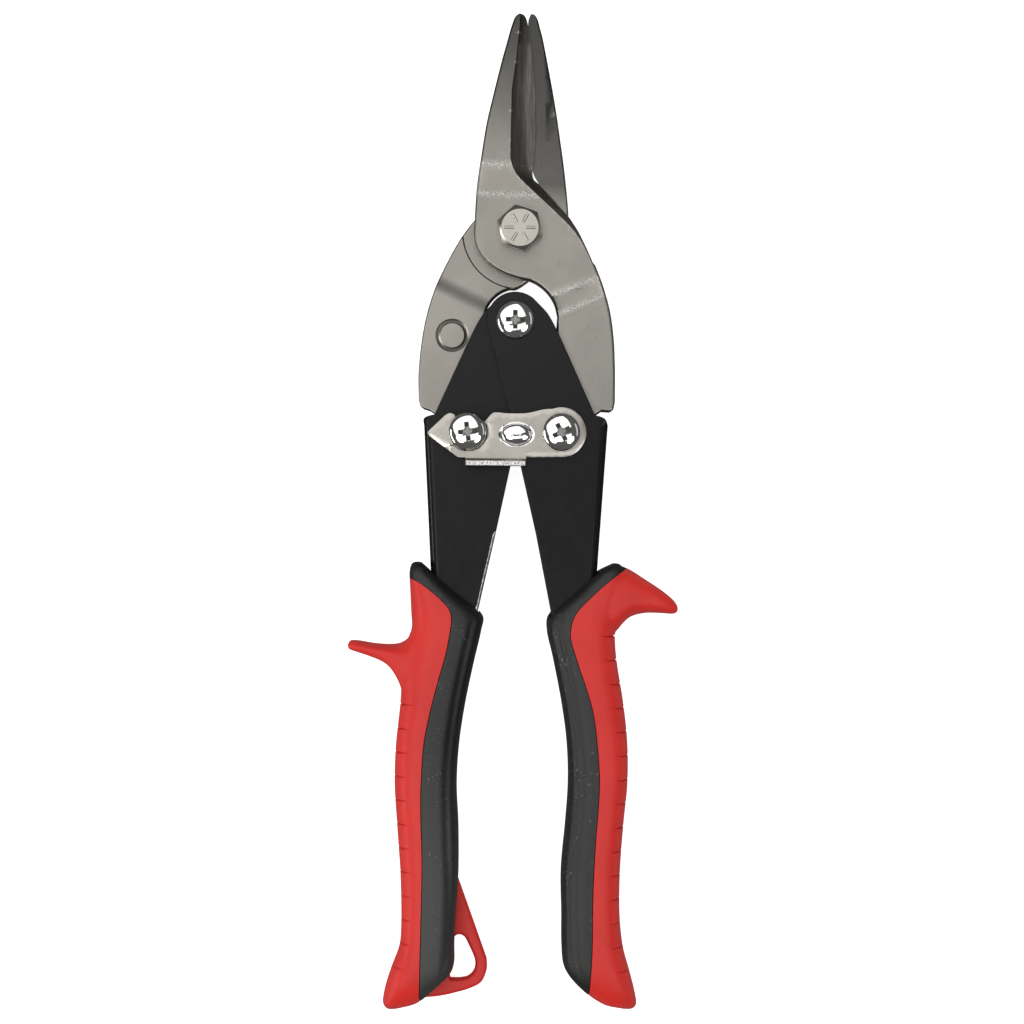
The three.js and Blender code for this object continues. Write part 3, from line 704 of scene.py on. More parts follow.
FRONT = {
    "name": "front_blade",
    "flank": [(-3.3, 52.7), (-4.05, 50.1), (-5.0, 46.1), (-5.95, 42.1), (-7.65, 34.0),
              (-9.2, 26.0), (-10.2, 18.0), (-11.1, 10.0)],
    "zone": (170, 245, 4),
    "throat": 10.6,
    "heel": [(18.4, -48.6), (19.9, -46.2), (21.9, -44.6)],
    "under": [(21.9, -44.6), (23.9, -44.7)],
    "corner": [(23.9, -44.7), (24.8, -44.1), (25.2, -42.2)],
    "outer": [(25.2, -42.2), (25.1, -38), (24.9, -33), (24.4, -26.5), (23.3, -19.8), (21.6, -14.2),
              (19.5, -9.2), (17.4, -4.6), (15.1, -0.2), (12.4, 3.7), (10.2, 6.0), (7.8, 8.6), (5.2, 11.2),
              (4.4, 12.0), (3.1, 12.9)],
    "edge": [(2.7, 14.2), (2.8, 17.2), (3.0, 21.2), (3.1, 25.2), (3.0, 27.2), (2.5, 35.2), (2.1, 39.2),
             (1.4, 45.1), (0.8, 49.1), (0.15, 52.3), (-0.4, 53.9)],
    "tip": [(-0.9, 54.3), (-1.6, 54.3), (-2.3, 54.0), (-2.9, 53.4)],
    "ridge": [(-1.75, 54.1), (-1.8, 52.4), (-1.8, 50.9), (-2.1, 46.9), (-2.4, 42.9), (-2.8, 38.9),
              (-3.2, 35), (-3.2, 31), (-3.1, 22.1), (-3.0, 18.1), (-2.8, 16.7), (-2.0, 14.7), (-0.4, 12.6),
              (3.7, 9.0), (7.8, 5.4), (11.9, 1.7), (14.0, -0.6), (16.4, -4.2), (18.2, -7.8)],
    "post": "right_link_post",
    "hole_radius": POST_HOLE,
}
REAR = {
    "name": "rear_blade",
    "flank": [(-2.8, 53.2), (-3.4, 51.2), (-4.3, 48.0), (-6.2, 39.7), (-7.9, 31.7), (-9.3, 23.8),
              (-10.5, 16.8), (-11.6, 9.0), (-12.1, 4.4), (-12.2, 1.0)],
    "zone": (200, 245, 3),
    "throat": 8.6,
    "heel": [(18.4, -48.6), (19.4, -46.9), (21.0, -45.8)],
    "under": [(21.0, -45.8), (22.5, -45.4)],
    "corner": [(22.5, -45.4), (23.4, -44.7), (23.9, -43.2)],
    "outer": [(23.9, -43.2), (24.2, -36.7), (23.7, -28.6), (22.6, -21.6), (20.6, -14.5), (18.0, -8.4),
              (15.0, -2.6), (12.2, 1.6), (8.5, 5.6), (4.5, 8.6), (0, 10.8), (-3.0, 11.6), (-4.5, 12.1)],
    "edge": [(-2.8, 15.1), (-2.4, 20), (-2.1, 27), (-1.8, 35), (-1.2, 43), (-0.6, 49), (-0.3, 52.6),
             (-0.65, 54.2)],
    "tip": [(-0.95, 54.8), (-1.6, 54.8), (-2.3, 54.2)],
    "ridge": [(-1.3, 54.6), (-1.6, 52.4), (-2.1, 50), (-3.4, 43), (-4.9, 35), (-6.1, 27), (-6.8, 20),
              (-6.7, 16.5), (-5.6, 13.0), (-3.0, 9.9), (1.0, 8.0), (4.2, 6.2), (7.6, 3.4), (10.6, 0.2),
              (13.4, -3.0), (15.4, -4.0)],
    "post": "left_link_post",
    "hole_radius": 3.9,
}
TANG_INNER = [(9.6, -28), (7.0, -40), (5.4, -48), (6.0, -54), (11.4, -57.1), (16.8, -54.2), (18.4, -48.6)]
PIVOT_ZONE = 11.5
BLADE_RIMS = (0.7, 0.5)
FAR = 40
GRIND = [(4.0, 45.5), (4.7, 39), (5.2, 34), (5.3, 29), (4.9, 24.5), (5.35, 20.7)]
GRIND_END = [(5.35, 20.7), (6.7, 22.7), (8.2, 25.6), (9.8, 29.4)]
RING_MARK = (16.1, -26.7)
RING_RADIUS = 3.6
RING_HALF = 0.6
RING_DEPTH = 0.42
DOT_RADIUS = 1.3


def blade_loops(shape, matrix):
    """A blade's outline, bolt hole and post hole. The rims end where the cutting side starts."""
    throat = arc((-0.38, PIVOT_Y), shape["throat"], 88, 8, 6)
    zone = arc((0, 0), PIVOT_ZONE, *shape["zone"])
    rimmed = [
        [*shape["flank"], *zone, *throat],
        [throat[-1], *TANG_INNER],
        shape["heel"],
        shape["under"],
        shape["corner"],
        shape["outer"][:9],
    ]
    outer = Loop([
        *[(points, *BLADE_RIMS) for points in rimmed],
        (shape["outer"][8:], 0.0, 0.12),
        ([shape["outer"][-1], *shape["edge"]], 0.0, 0.0),
        ([shape["edge"][-1], *shape["tip"], shape["flank"][0]], 0.5, 0.2),
    ])
    post_place = matrix.inverted() @ Vector(middle(shape["post"]))
    link = round_hole((post_place.x, post_place.y), shape["hole_radius"])
    return [outer, round_hole((0, 0), BOLT_HOLE), link]


def along_joggle(at):
    return -at[:, 0] * math.sin(JOGGLE_ANGLE) + at[:, 1] * math.cos(JOGGLE_ANGLE)


def joggle_line(offset):
    """A line across the tang at one place along the joggle."""
    across, ahead = [axis[:2] for axis in turned_axes(JOGGLE_ANGLE)]
    return np.array([ahead * offset + across * reach for reach in np.arange(1.0, 30.0, 0.6)])


def fold_share(at):
    """0 before the joggle, 1 past it."""
    return np.clip((along_joggle(at) - JOGGLE_START) / (JOGGLE_END - JOGGLE_START), 0, 1)


def clip_line(line, loops, margin=0.05):
    """The part of a line that lies inside the plate."""
    line = np.array(line, float)
    starts = np.vstack([loop.points for loop in loops])
    ends = np.vstack([np.roll(loop.points, -1, axis=0) for loop in loops])
    kept = inside(line, loops[0].points) & (segment_distance(line, starts, ends).min(1) > margin)
    for hole in loops[1:]:
        kept &= ~inside(line, hole.points)
    rows = np.flatnonzero(kept)
    if len(rows) < 2:
        return []
    breaks = np.flatnonzero(np.diff(rows) > 1)
    return [part for part in (line[r] for r in np.split(rows, breaks + 1)) if len(part) > 1]


def blade(shape, matrix, marked):
    """A forged blade: a flat shear side, a bevelled edge, a joggled tang and, if marked, a ring mark."""
    loops = blade_loops(shape, matrix)
    ridge = smooth_line(shape["ridge"], 0.6)
    working = np.vstack([smooth_line(shape["outer"][6:], 0.6), smooth_line(shape["edge"], 0.6)])
    jaw_width = np.arange(-12, 4.8, 0.6)
    rise_lines = [np.column_stack([jaw_width, jaw_width * 0 + y]) for y in (JAW_RISE_START, JAW_RISE_END)]
    folds = [joggle_line(JOGGLE_START), joggle_line(JOGGLE_END)]
    steps = [np.array(arc((0, 0), radius, -95, 5, 60)) for radius in (STEP_RADIUS, STEP_RADIUS + STEP_RUN)]
    facet = np.vstack([ridge, [(FAR, ridge[-1][1] - 1.0), (FAR, 70), (ridge[0][0], 70)]])
    hollow = np.array([*GRIND, *GRIND_END[1:], (20, 30), (20, 60), (GRIND[0][0], 60)])

    def face_height(at):
        y = at[:, 1]
        rise = np.clip((y - JAW_RISE_START) / (JAW_RISE_END - JAW_RISE_START), 0, 1)
        fall = np.clip((y - JAW_RISE_END - 2) / (TIP_Y - JAW_RISE_END - 2), 0, 1)
        return BLADE_TOP + JAW_RISE * rise - JAW_FALL * fall - JOGGLE * fold_share(at)

    def beyond_ridge(at):
        return inside(at, facet)

    def top(at):
        face = face_height(at)
        to_ridge = line_distance(at, ridge)
        to_edge = line_distance(at, working)
        share = to_ridge / np.maximum(to_ridge + to_edge, 1e-6)
        land = BLADE_LOW + LAND
        bevel = land + (face - land) * (1 - share) ** 1.5
        return np.where(beyond_ridge(at), bevel, face)

    def bottom(at):
        radius = np.linalg.norm(at, axis=1)
        tang = (at[:, 1] < 2) & (at[:, 0] > -2)
        step = np.where(tang, np.clip((radius - STEP_RADIUS) / STEP_RUN, 0, 1), 0) * STEP_HEIGHT
        height = BLADE_LOW - step - (JOGGLE - STEP_HEIGHT) * fold_share(at)
        return height + grind_depth(at) - mark_height(at)

    def grind_depth(at):
        """A ground hollow down the outer half of the jaw's flat side, seen from the shear side."""
        turned_at = at * (-1, 1)
        past_start = line_distance(turned_at, smooth_line(GRIND, 0.5))
        past_end = line_distance(turned_at, GRIND_END)
        depth = 0.22 * past_start * np.clip(past_end / 2.5, 0, 1)
        fade = np.clip((46 - at[:, 1]) / 6, 0, 1)
        return np.where(inside(turned_at, hollow), depth * fade, 0)

    def mark_height(at):
        if not marked:
            return np.zeros(len(at))
        radius = np.linalg.norm(at - np.array(RING_MARK), axis=1)
        groove = np.clip(1 - np.abs(radius - RING_RADIUS) / RING_HALF, 0, 1) * -RING_DEPTH
        boss = np.where(radius < DOT_RADIUS, 0.3 * np.sqrt(np.maximum(1 - (radius / DOT_RADIUS) ** 2, 0)), 0)
        return groove + boss

    rings = (DOT_RADIUS, 0.8, 3.0, RING_RADIUS, 4.2)
    marks = [arc(RING_MARK, r, 0, 360, 49) for r in rings] if marked else []
    grinds = [smooth_line(GRIND, 0.5) * (-1, 1), smooth_line(GRIND_END, 0.5) * (-1, 1)]
    cuts = [ridge, *rise_lines, *folds, *steps, *map(np.array, marks), *grinds]
    lines = [part for cut in cuts for part in clip_line(cut, loops)]
    piece = plate(shape["name"] + "_forging", loops, top, bottom, matrix, lines, grid=1.2)
    paint_blade(piece, matrix, beyond_ridge, folds + rise_lines, grind_depth)
    return shade(piece, BLADE_ANGLE)


def paint_blade(piece, matrix, beyond_ridge, scuff_and_highlight_lines, grind_depth):
    """Marks which parts of a blade are ground, which are darkened as painted shade, and which are scuffed by
    coining and brightened as a painted highlight.
    """
    back = (Matrix.Scale(MM, 4) @ matrix).inverted()
    drawn = np.array([back @ v.co for v in piece.data.vertices])
    at, height = drawn[:, :2], drawn[:, 2]
    outside = height > BLADE_LOW + 0.4
    ground = (beyond_ridge(at) & outside).astype(float)
    wedge = (grind_depth(at) > 0.03) & ~outside
    middle_of_fold = (JOGGLE_START + JOGGLE_END) / 2
    from_fold = np.abs(along_joggle(at) - middle_of_fold) / (JOGGLE_START - middle_of_fold)
    pressed = np.clip(1.3 - 1.3 * from_fold, 0, 1) * np.clip((at[:, 0] - 0.5) / 4, 0, 1) * ~outside
    shear_side = np.clip((at[:, 1] - 5) / 7, 0, 1) * ~outside
    # painted shade: the pressed joggle band, the ground hollow and the jaw's shear side are darkened in
    # colour
    painted_shade = np.maximum(0.8 * shear_side, wedge + 0.7 * pressed)
    # scuffs and a painted highlight along the crease lines
    near = np.min([line_distance(at, line) for line in scuff_and_highlight_lines], axis=0)
    scuff_and_highlight = np.exp(-(near / 0.55) ** 2) * outside
    for name, values in (("ground", ground), ("painted_shade", painted_shade), ("scuff_and_highlight", scuff_and_highlight)):
        attribute = piece.data.attributes.new(name, "FLOAT", "POINT")
        attribute.data.foreach_set("value", values.astype(np.float32))


dress(blade(FRONT, BLADES, False), "front_blade", "blade_steel")
dress(blade(REAR, BLADES @ TURNED_OVER, True), "rear_blade", "blade_steel")


# ---- Main pivot ----

HEX_FLATS = 10.2
HEX_TURN = 42
HEX_FACE = 4.75
MARK_HEIGHT = 0.26
BAR_SECTION = [(-1, -0.2), (1, -0.2), (1, 0.05), (0.55, MARK_HEIGHT), (-0.55, MARK_HEIGHT), (-1, 0.05)]


def hexagon(name, low, high, chamfered_below=False):
    """A hexagon head: six flats, a cone chamfer and a round flat face on top."""
    angles = np.radians(np.arange(0, 360, 3) + HEX_TURN)
    apothem = HEX_FLATS / 2
    corner = apothem / np.cos(((angles - math.radians(HEX_TURN)) % (math.pi / 3)) - math.pi / 6)
    slope = math.tan(math.radians(30))
    side_top = high - 0.15 - (corner - HEX_FACE) * slope
    side_low = low + (corner - HEX_FACE) * slope if chamfered_below else np.full(len(angles), low)
    first = np.full(len(angles), HEX_FACE) if chamfered_below else corner - 0.2
    rings = []
    for radius, height in (
        (first, np.full(len(angles), low)),
        (corner, side_low + 0.1),
        (corner, side_top),
        (np.full(len(angles), HEX_FACE), np.full(len(angles), high - 0.12)),
        (np.full(len(angles), HEX_FACE - 0.15), np.full(len(angles), high)),
    ):
        rings.append(np.column_stack([radius * np.cos(angles), radius * np.sin(angles), height]))
    return loft(name, rings)


def grade_marks(top):
    """Six short raised bars on the bolt's face."""
    bars = None
    for step in range(6):
        along, across = turned_axes(math.radians(60 * step))
        rings = []
        for reach, half in ((1.45, 0.2), (1.6, 0.36), (3.75, 0.36), (3.9, 0.2)):
            rings.append([along * reach + across * half * a + (0, 0, top + up) for a, up in BAR_SECTION])
        bar = loft("bar", rings)
        bars = bar if bars is None else combine(bars, bar, "UNION")
    return bars


def pivot_bolt():
    """The hexagon head with its grade marks and the shank below it."""
    low = BLADE_TOP + 0.15
    top = top_of("pivot_bolt") - MARK_HEIGHT
    head = hexagon("pivot_bolt_head", low, top)
    shank = turned("shank", [(0, 0), (2.5, 0), (3, 0.5), (3, low + 1), (0, low + 1)], (0, 0))
    combine(head, shank, "UNION")
    combine(head, grade_marks(top), "UNION")
    return shade(head, FACET_ANGLE)


def washer(name, inner, outer, low, high, centre):
    soft = 0.15
    edge = [(outer - soft, low), (outer, low + soft), (outer, high - soft), (outer - soft, high)]
    profile = [(inner, low), *edge, (inner, high)]
    return shade(turned(name, profile, centre))


def pivot_nut():
    low, high = bottom_of("pivot_nut"), top_of("pivot_nut")
    nut = hexagon("pivot_nut_hex", low, high, chamfered_below=True)
    bore = turned("bore", [(0, low - 1), (BOLT_HOLE, low - 1), (BOLT_HOLE, high + 1), (0, high + 1)], (0, 0))
    combine(nut, bore, "DIFFERENCE")
    return shade(nut, FACET_ANGLE)


dress(pivot_bolt(), "pivot_bolt", "nickel_plate")
dress(pivot_nut(), "pivot_nut", "nickel_plate")
low, high = bottom_of("pivot_washer"), top_of("pivot_washer")
dress(washer("pivot_washer_ring", BOLT_HOLE, 6.2, low, high, (0, 0)), "pivot_washer", "nickel_plate")


# ---- Handles ----

BEND = 2.0
CUT_RIM = 0.25
STRIP = 0.7
GRIP_TONGUE = [(21.8, -100), (24.6, -120), (25.6, -138), (25.3, -148), (24.6, -160)]
LEFT_OUTER_EDGE = [(22.65, -48.8), (20.7, -85), *GRIP_TONGUE]
RIGHT_OUTER_EDGE = [(23.3, -48.8), (20.9, -85), *GRIP_TONGUE]
RIGHT_INNER_SIDE = [(9.4, -95), (5.6, -76), (1.65, -59)]
LEFT_INNER_SIDE = [(8.75, -95), (4.55, -76), (0.95, -59)]
INNER_EDGE = [(16.2, -160), (16.6, -148), (17.4, -138), (15.6, -120), (11.6, -103)]
NECK = (-1.3, -45.4)
SHOULDER = (12.0, -28.5)
SHOULDER_FOOT = (20.0, -46.2)


def handle_loop(outer_edge, inner_side, grow=0.0, bend=BEND, cut=CUT_RIM, sheared=CUT_RIM):
    """The outline of a handle: bent over on the outside, cut elsewhere."""
    outer = [(x + grow, y) for x, y in outer_edge]
    inner = [(x - grow, y) for x, y in [*INNER_EDGE, inner_side[0]]]
    middle_point, top_point = [(x - grow, y) for x, y in inner_side[1:]]
    lobe = arc((0, PIVOT_Y), 7.1, 180, 38, 10)
    return Loop([
        ([top_point, NECK], cut, cut),
        ([NECK, (-6.6, -25), (-7.1, PIVOT_Y)], cut, cut),
        (lobe, cut, cut),
        ([lobe[-1], (8.0, -20.9), (10.0, -24.3), SHOULDER], cut, cut),
        ([SHOULDER, SHOULDER_FOOT], cut, cut),
        ([SHOULDER_FOOT, (21.6, -46.6), (22.7, -47.3), outer[0]], cut, cut),
        (outer[:2], bend, bend),
        (outer[1:], bend, bend),
        ([outer[-1], inner[0]], cut, cut),
        (inner, cut, cut),
        ([inner[-1], middle_point], cut, sheared),
        ([middle_point, top_point], cut, cut),
    ])


def channel_space(outer_edge, matrix):
    """What is hollow in a handle: everything within its sheet."""
    inside_edge = [(x - SHEET, y) for x, y in outer_edge]
    side, top, foot, mouth = inside_edge[0][0], 10, -161, -48.6
    before = straight_runs([(FAR, top), (-FAR, top), (-FAR, foot), inside_edge[-1]])
    after = straight_runs([inside_edge[0], (side, mouth), (FAR, mouth), (FAR, top)])
    loop = Loop([*before, (inside_edge[::-1], 0, 0), *after], step=2.0)
    return plate("space", [loop], CHANNEL_HIGH - SHEET, CHANNEL_LOW + SHEET, matrix, grid=FAR)


def handle(name, matrix, outer_edge, inner_side, sheared):
    """A bent sheet channel, open at the inner side, with its two post holes."""
    loop = reversed_loop(handle_loop(outer_edge, inner_side, sheared=sheared))
    holes = [round_hole(place, POST_HOLE) for place in ((0, PIVOT_Y), (LINK_SPAN, LINK_Y))]
    body = plate(name, [loop, *holes], CHANNEL_HIGH, CHANNEL_LOW, matrix, grid=3.0)
    combine(body, channel_space(outer_edge, matrix), "DIFFERENCE")
    return shade(body, PLATE_ANGLE)


def on_strip(centres, normals):
    """The bare sheared strip along the left handle's inner edge."""
    line = np.array(LEFT_INNER_SIDE[:2]) * (-1, 1) + (HANDLE_X, 0)
    front = centres[:, 2] > top_of("left_handle") - SHEET
    slanted = (normals[:, 2] < 0.985) & (normals[:, 2] > -0.02)
    return (line_distance(centres[:, :2], line) < STRIP) & front & slanted


right_handle = handle("right_handle_channel", HANDLES, RIGHT_OUTER_EDGE, RIGHT_INNER_SIDE, CUT_RIM)
dress(right_handle, "right_handle", "black_paint")
left_handle = handle("left_handle_channel", HANDLES @ TURNED_OVER, LEFT_OUTER_EDGE, LEFT_INNER_SIDE, STRIP)
dress(left_handle, "left_handle", "black_paint", [SHEARED])
repaint(left_handle, 1, on_strip)


# ---- Small pivots ----

POST_FLANGE = 1.7
PAN_HEIGHT = 2.6
PAN_RADIUS = 4.7


def post(node, bore_from_top):
    """A flanged barrel with a cross recess below and a bore from above."""
    centre = middle(node)
    low, high = bottom_of(node), top_of(node)
    flange = low + POST_FLANGE
    bore, floor = 2.15, high - bore_from_top
    head = [(0, low + 0.05), (1.2, low), (3.4, low + 0.12), (4.2, low + 0.45), (4.6, low + 1.0)]
    barrel = [(4.6, flange - 0.1), (4.5, flange), (3.5, flange), (3.5, high - 0.15), (3.35, high)]
    profile = [*head, *barrel, (bore, high), (bore, floor), (0, floor)]
    body = turned(node + "_barrel", profile, centre)
    combine(body, cross_tool(centre, low - 0.01, -1, 0), "DIFFERENCE")
    return shade(body, PLATE_ANGLE)


def cross_tool(centre, face, direction, turn):
    """The cutter for a cross recess: four tapered arms and a cone, sunk from a face.
    direction is 1 for a face that looks up and -1 for one that looks down."""
    tool = None
    for arm in (0, 90):
        along, across = turned_axes(math.radians(turn + arm))
        rings = []
        for depth, long, wide in ((-1.0, 2.75, 0.62), (0.3, 2.3, 0.56), (1.45, 1.15, 0.42)):
            base = np.array([centre[0], centre[1], face - direction * depth])
            signs = ((-1, -1), (1, -1), (1, 1), (-1, 1))
            ring = [base + along * (a * long) + across * (b * wide) for a, b in signs]
            rings.append(ring if direction > 0 else ring[::-1])
        part = loft("arm", [ring[::-1] for ring in rings])
        tool = part if tool is None else combine(tool, part, "UNION")
    high, low = face + direction * 1.0, face - direction * 1.3
    cone = [(0, min(low, high)), (1.25 if direction < 0 else 0.75, min(low, high)),
            (0.75 if direction < 0 else 1.25, max(low, high)), (0, max(low, high))]
    return combine(tool, turned("cone", cone, centre, 32), "UNION")


def screw(node, turn, neck_end):
    """A pan head screw with a cross recess, turned by some degrees."""
    centre = middle(node)
    top = top_of(node)
    head = top - PAN_HEIGHT
    angles = np.linspace(0, math.pi / 2, 16)
    dome = [(PAN_RADIUS * math.cos(a), head + 0.75 + 1.85 * math.sin(a) ** 0.85) for a in angles[:-1]]
    dome.append((0, head + 0.75 + 1.85))
    neck = [(0, neck_end), (1.8, neck_end), (2, neck_end + 0.2), (2, head)]
    profile = [*neck, (4.5, head), (PAN_RADIUS, head + 0.15), *dome]
    body = turned(node + "_pan", profile, centre, 96)
    combine(body, cross_tool(centre, top, 1, turn), "DIFFERENCE")
    return shade(body, math.radians(30))


def recess_of(node):
    """Chooses the walls and floor of a screw's cross recess, which take the darker spring_wire look as
    painted shade.
    """
    centre = middle(node)[:2]
    top = top_of(node)

    def chosen(centres, normals):
        radius = np.linalg.norm(centres[:, :2] - centre, axis=1)
        wall = normals[:, 2] < 0.55
        floor = centres[:, 2] < top - 0.7
        return (radius < 3.1) & (centres[:, 2] > top - 2.4) & (wall | floor)

    return chosen


SCREW_TURNS = {"handle_pivot": 0, "right_link": 28, "left_link": 8}
for pivot, turn in SCREW_TURNS.items():
    node = pivot + "_post"
    bore = top_of(node) - bottom_of(node) - POST_FLANGE
    dress(post(node, bore), node, "bright_chrome")
    node = pivot + "_screw"
    piece = dress(screw(node, turn, bottom_of(node)), node, "bright_chrome", [LOOKS["spring_wire"]])
    # painted shade: the recess walls and floor get the darker spring_wire look
    repaint(piece, 1, recess_of(node))

low, high = bottom_of("latch_washer"), top_of("latch_washer")
dress(washer("latch_washer_ring", POST_HOLE, 5.4, low, high, RIGHT_LINK), "latch_washer", "nickel_plate")
low, high = bottom_of("spring_bush"), top_of("spring_bush")
dress(washer("spring_bush_sleeve", POST_HOLE, 4.3, low, high, HANDLE_PIVOT), "spring_bush", "bright_chrome")


# ---- Return spring ----

SPRING_END_GAP = 0.75


def return_spring():
    """A torsion spring: a coil round the bush and a leg into each handle."""
    low = bottom_of("spring_bush") + SPRING_END_GAP
    rise = top_of("spring_bush") - SPRING_END_GAP - low
    start, turns, coil, leg = math.radians(2), 1.49, 5.2, 17.5
    points = []
    for part in np.linspace(0, 1, 90):
        angle = start + part * turns * 2 * math.pi
        x = HANDLE_X + coil * math.cos(angle)
        points.append((x, PIVOT_Y + coil * math.sin(angle), low + rise * part))
    points = np.array(points)
    end = start + turns * 2 * math.pi
    reach = np.linspace(leg, 0.8, 24)[:, None]
    first = points[0] + reach * (math.cos(start - math.pi / 2), math.sin(start - math.pi / 2), 0)
    last = points[-1] + reach[::-1] * (math.cos(end + math.pi / 2), math.sin(end + math.pi / 2), 0)
    path = np.vstack([first, points, last])
    wire = 0.6
    angles = np.linspace(0, 2 * math.pi, 16, endpoint=False)
    section = [(wire * math.cos(a), wire * math.sin(a)) for a in angles]
    return shade(sweep("return_spring_wire", path, section))


spring = dress(return_spring(), "return_spring", "spring_wire")
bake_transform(spring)


# ---- Latch ----

EMBOSS = (0.5, -51.2)
EMBOSS_HALF = (3.7, 2.55)
LATCH_LOW = bottom_of("latch")
LATCH_SHEET = 1.7
LATCH_TOP = LATCH_LOW + LATCH_SHEET
TAB_TOP = top_of("latch")


def oval(scale):
    """A line round the emboss, 1 being its own outline."""
    wide, high = EMBOSS_HALF[0] * scale, EMBOSS_HALF[1] * scale
    angles = np.linspace(0, 2 * math.pi, 49)
    return [(EMBOSS[0] + wide * math.cos(a), EMBOSS[1] + high * math.sin(a)) for a in angles]


def emboss_share(at):
    """How far out points lie from the emboss's centre, 1 being its outline."""
    return np.linalg.norm((at - np.array(EMBOSS)) / np.array(EMBOSS_HALF), axis=1)


def latch_loop():
    rim = 0.4
    nose = arc((LINK_SPAN, LINK_Y), 6.2, -80, 110, 20)
    notch = arc((-LINK_SPAN, LINK_Y), 4.9, 30, -135, 20)
    curves = [
        [nose[-1], (7.0, -45.0), (3.0, -45.9), (-1.6, -46.0), (-4.2, -45.8), (-5.6, -46.1), notch[0]],
        notch,
        [notch[-1], (-15.1, -54.0), (-14.5, -52.9), (-14.3, -52.0), (-14.3, -49.2), (-14.9, -46.4)],
        [(-14.9, -46.4), (-16.1, -46.05), (-17.2, -46.6)],
        [(-17.2, -46.6), (-21.0, -50.2)],
        [(-21.0, -50.2), (-21.5, -50.9), (-21.0, -51.8)],
        [(-21.0, -51.8), (-14.6, -56.5)],
        [(-14.6, -56.5), (-14.0, -56.9), (-13.2, -57.0)],
        [(-13.2, -57.0), nose[0]],
        nose,
    ]
    return Loop([(curve, rim, rim) for curve in curves], step=0.4)


def latch():
    """The hooked plate with its embossed oval and the groove round it."""
    loop = reversed_loop(latch_loop())
    hole = round_hole((LINK_SPAN, LINK_Y), POST_HOLE)

    def top(at):
        share = emboss_share(at)
        dome = np.sqrt(np.maximum(1 - share ** 2, 0)) * 1.05
        groove = np.clip(1 - np.abs(share - 1.1) / 0.13, 0, 1) * -0.22
        return LATCH_TOP + np.where(share < 1, dome, groove)

    lines = [oval(scale) for scale in (0.3, 0.5, 0.68, 0.82, 0.92, 0.97, 1.0, 1.1, 1.23)]
    body = plate("latch_plate_hook", [loop, hole], top, LATCH_LOW, HANDLES, lines, grid=1.1)
    return shade(body, PLATE_ANGLE)


def latch_tab():
    """The thumb tab: the sheet bends up towards the user and ends in a sheared edge."""
    inner, outer = -56.9, -59.1
    bend = 1.9
    thick = 1.4
    section = [
        (inner + 1.5, LATCH_LOW),
        (inner + 1.5, LATCH_TOP - 0.02),
        (outer + thick + 0.5, LATCH_TOP - 0.02),
        (outer + thick + 0.1, LATCH_TOP + 0.4),
        (outer + thick, LATCH_TOP + 0.9),
        (outer + thick, TAB_TOP - 0.15),
        (outer + thick - 0.15, TAB_TOP),
        (outer + 0.15, TAB_TOP),
        (outer, TAB_TOP - 0.3),
    ]
    section += [(outer + bend - bend * math.cos(a), LATCH_LOW + bend - bend * math.sin(a))
                for a in np.linspace(0, math.pi / 2, 8)]
    rings = []
    for x, shrink in ((-12.1, 0.12), (-11.9, 0), (2.7, 0), (2.9, 0.12)):
        centre = np.mean(section, axis=0)
        rings.append([(x, y + (centre[0] - y) * shrink, z + (centre[1] - z) * shrink) for y, z in section])
    return shade(loft("latch_thumb_tab", rings, HANDLES), PLATE_ANGLE)


latch_piece = dress(latch(), "latch", "nickel_plate", [LOOKS["bright_chrome"]])
latch_tab_piece = dress(latch_tab(), "latch", "nickel_plate", [SHEARED])


def on_dome(centres, normals):
    return (emboss_share(centres[:, :2] - (HANDLE_X, 0)) < 1.2) & (normals[:, 2] > 0)


def on_tab_end(centres, normals):
    return (centres[:, 2] > TAB_TOP - 0.4) & (normals[:, 2] > 0.3)


repaint(latch_piece, 1, on_dome)
repaint(latch_tab_piece, 1, on_tab_end)


# ---- Grips ----

# Grip stations are (y, left side, right side, half thickness).
# Guard stations are (x, low, high, half thickness).

LEFT_GRIP = [
    (-83.2, -25.4, -23.2, 7.0), (-85.5, -26.0, -20.6, 8.6), (-90, -25.8, -15.2, 9.4),
    (-96, -25.5, -7.9, 9.7), (-100, -25.4, -7.9, 10), (-109, -27.4, -9.9, 10), (-119, -28.1, -11.9, 10),
    (-129, -29.1, -13.3, 10), (-139, -29.3, -13.8, 10), (-149, -28.6, -13.3, 10), (-161, -27.7, -13.2, 10),
    (-172, -27.4, -13.8, 10), (-179, -27.8, -14.1, 10), (-185, -29.9, -14.4, 9.9),
    (-189.5, -31.3, -18.5, 9.0), (-193, -31.9, -22.6, 7.2), (-194.3, -31.5, -26.2, 5.0),
    (-195.1, -31.0, -28.4, 2.8),
]
LEFT_GUARD = [
    (-20, -117, -94, 9.0), (-25.0, -116.8, -99.6, 8.8), (-26.2, -116.2, -102.2, 8.6),
    (-27.6, -115.2, -103.2, 8.4), (-28.6, -112.8, -103.7, 8.2), (-30.4, -109.9, -103.9, 7.7),
    (-32.4, -108.2, -103.9, 7.2), (-35.5, -106.9, -103.6, 6.6), (-39.0, -105.8, -103.0, 5.8),
    (-40.9, -105.2, -103.0, 4.9), (-41.3, -104.8, -103.5, 4.2),
]
RIGHT_GRIP = [
    (-83.2, 25.0, 26.6, 7.0), (-85.5, 20.6, 27.6, 8.6), (-90, 15.4, 27.4, 9.4), (-95.6, 9.2, 26.4, 9.7),
    (-100, 8.5, 25.6, 10), (-107, 10.1, 26.0, 10), (-118, 12.3, 27.8, 10), (-128, 13.7, 28.9, 10),
    (-138, 14.1, 29.0, 10), (-148, 13.5, 28.1, 10), (-160, 12.5, 27.3, 10), (-171, 12.7, 27.3, 10),
    (-179, 12.8, 28.2, 10), (-184.5, 13.6, 29.7, 9.9), (-189.3, 17.5, 31.0, 9.0), (-192.8, 22.4, 31.7, 7.2),
    (-193.9, 25.8, 31.4, 5.0), (-194.6, 28.1, 30.7, 2.8),
]
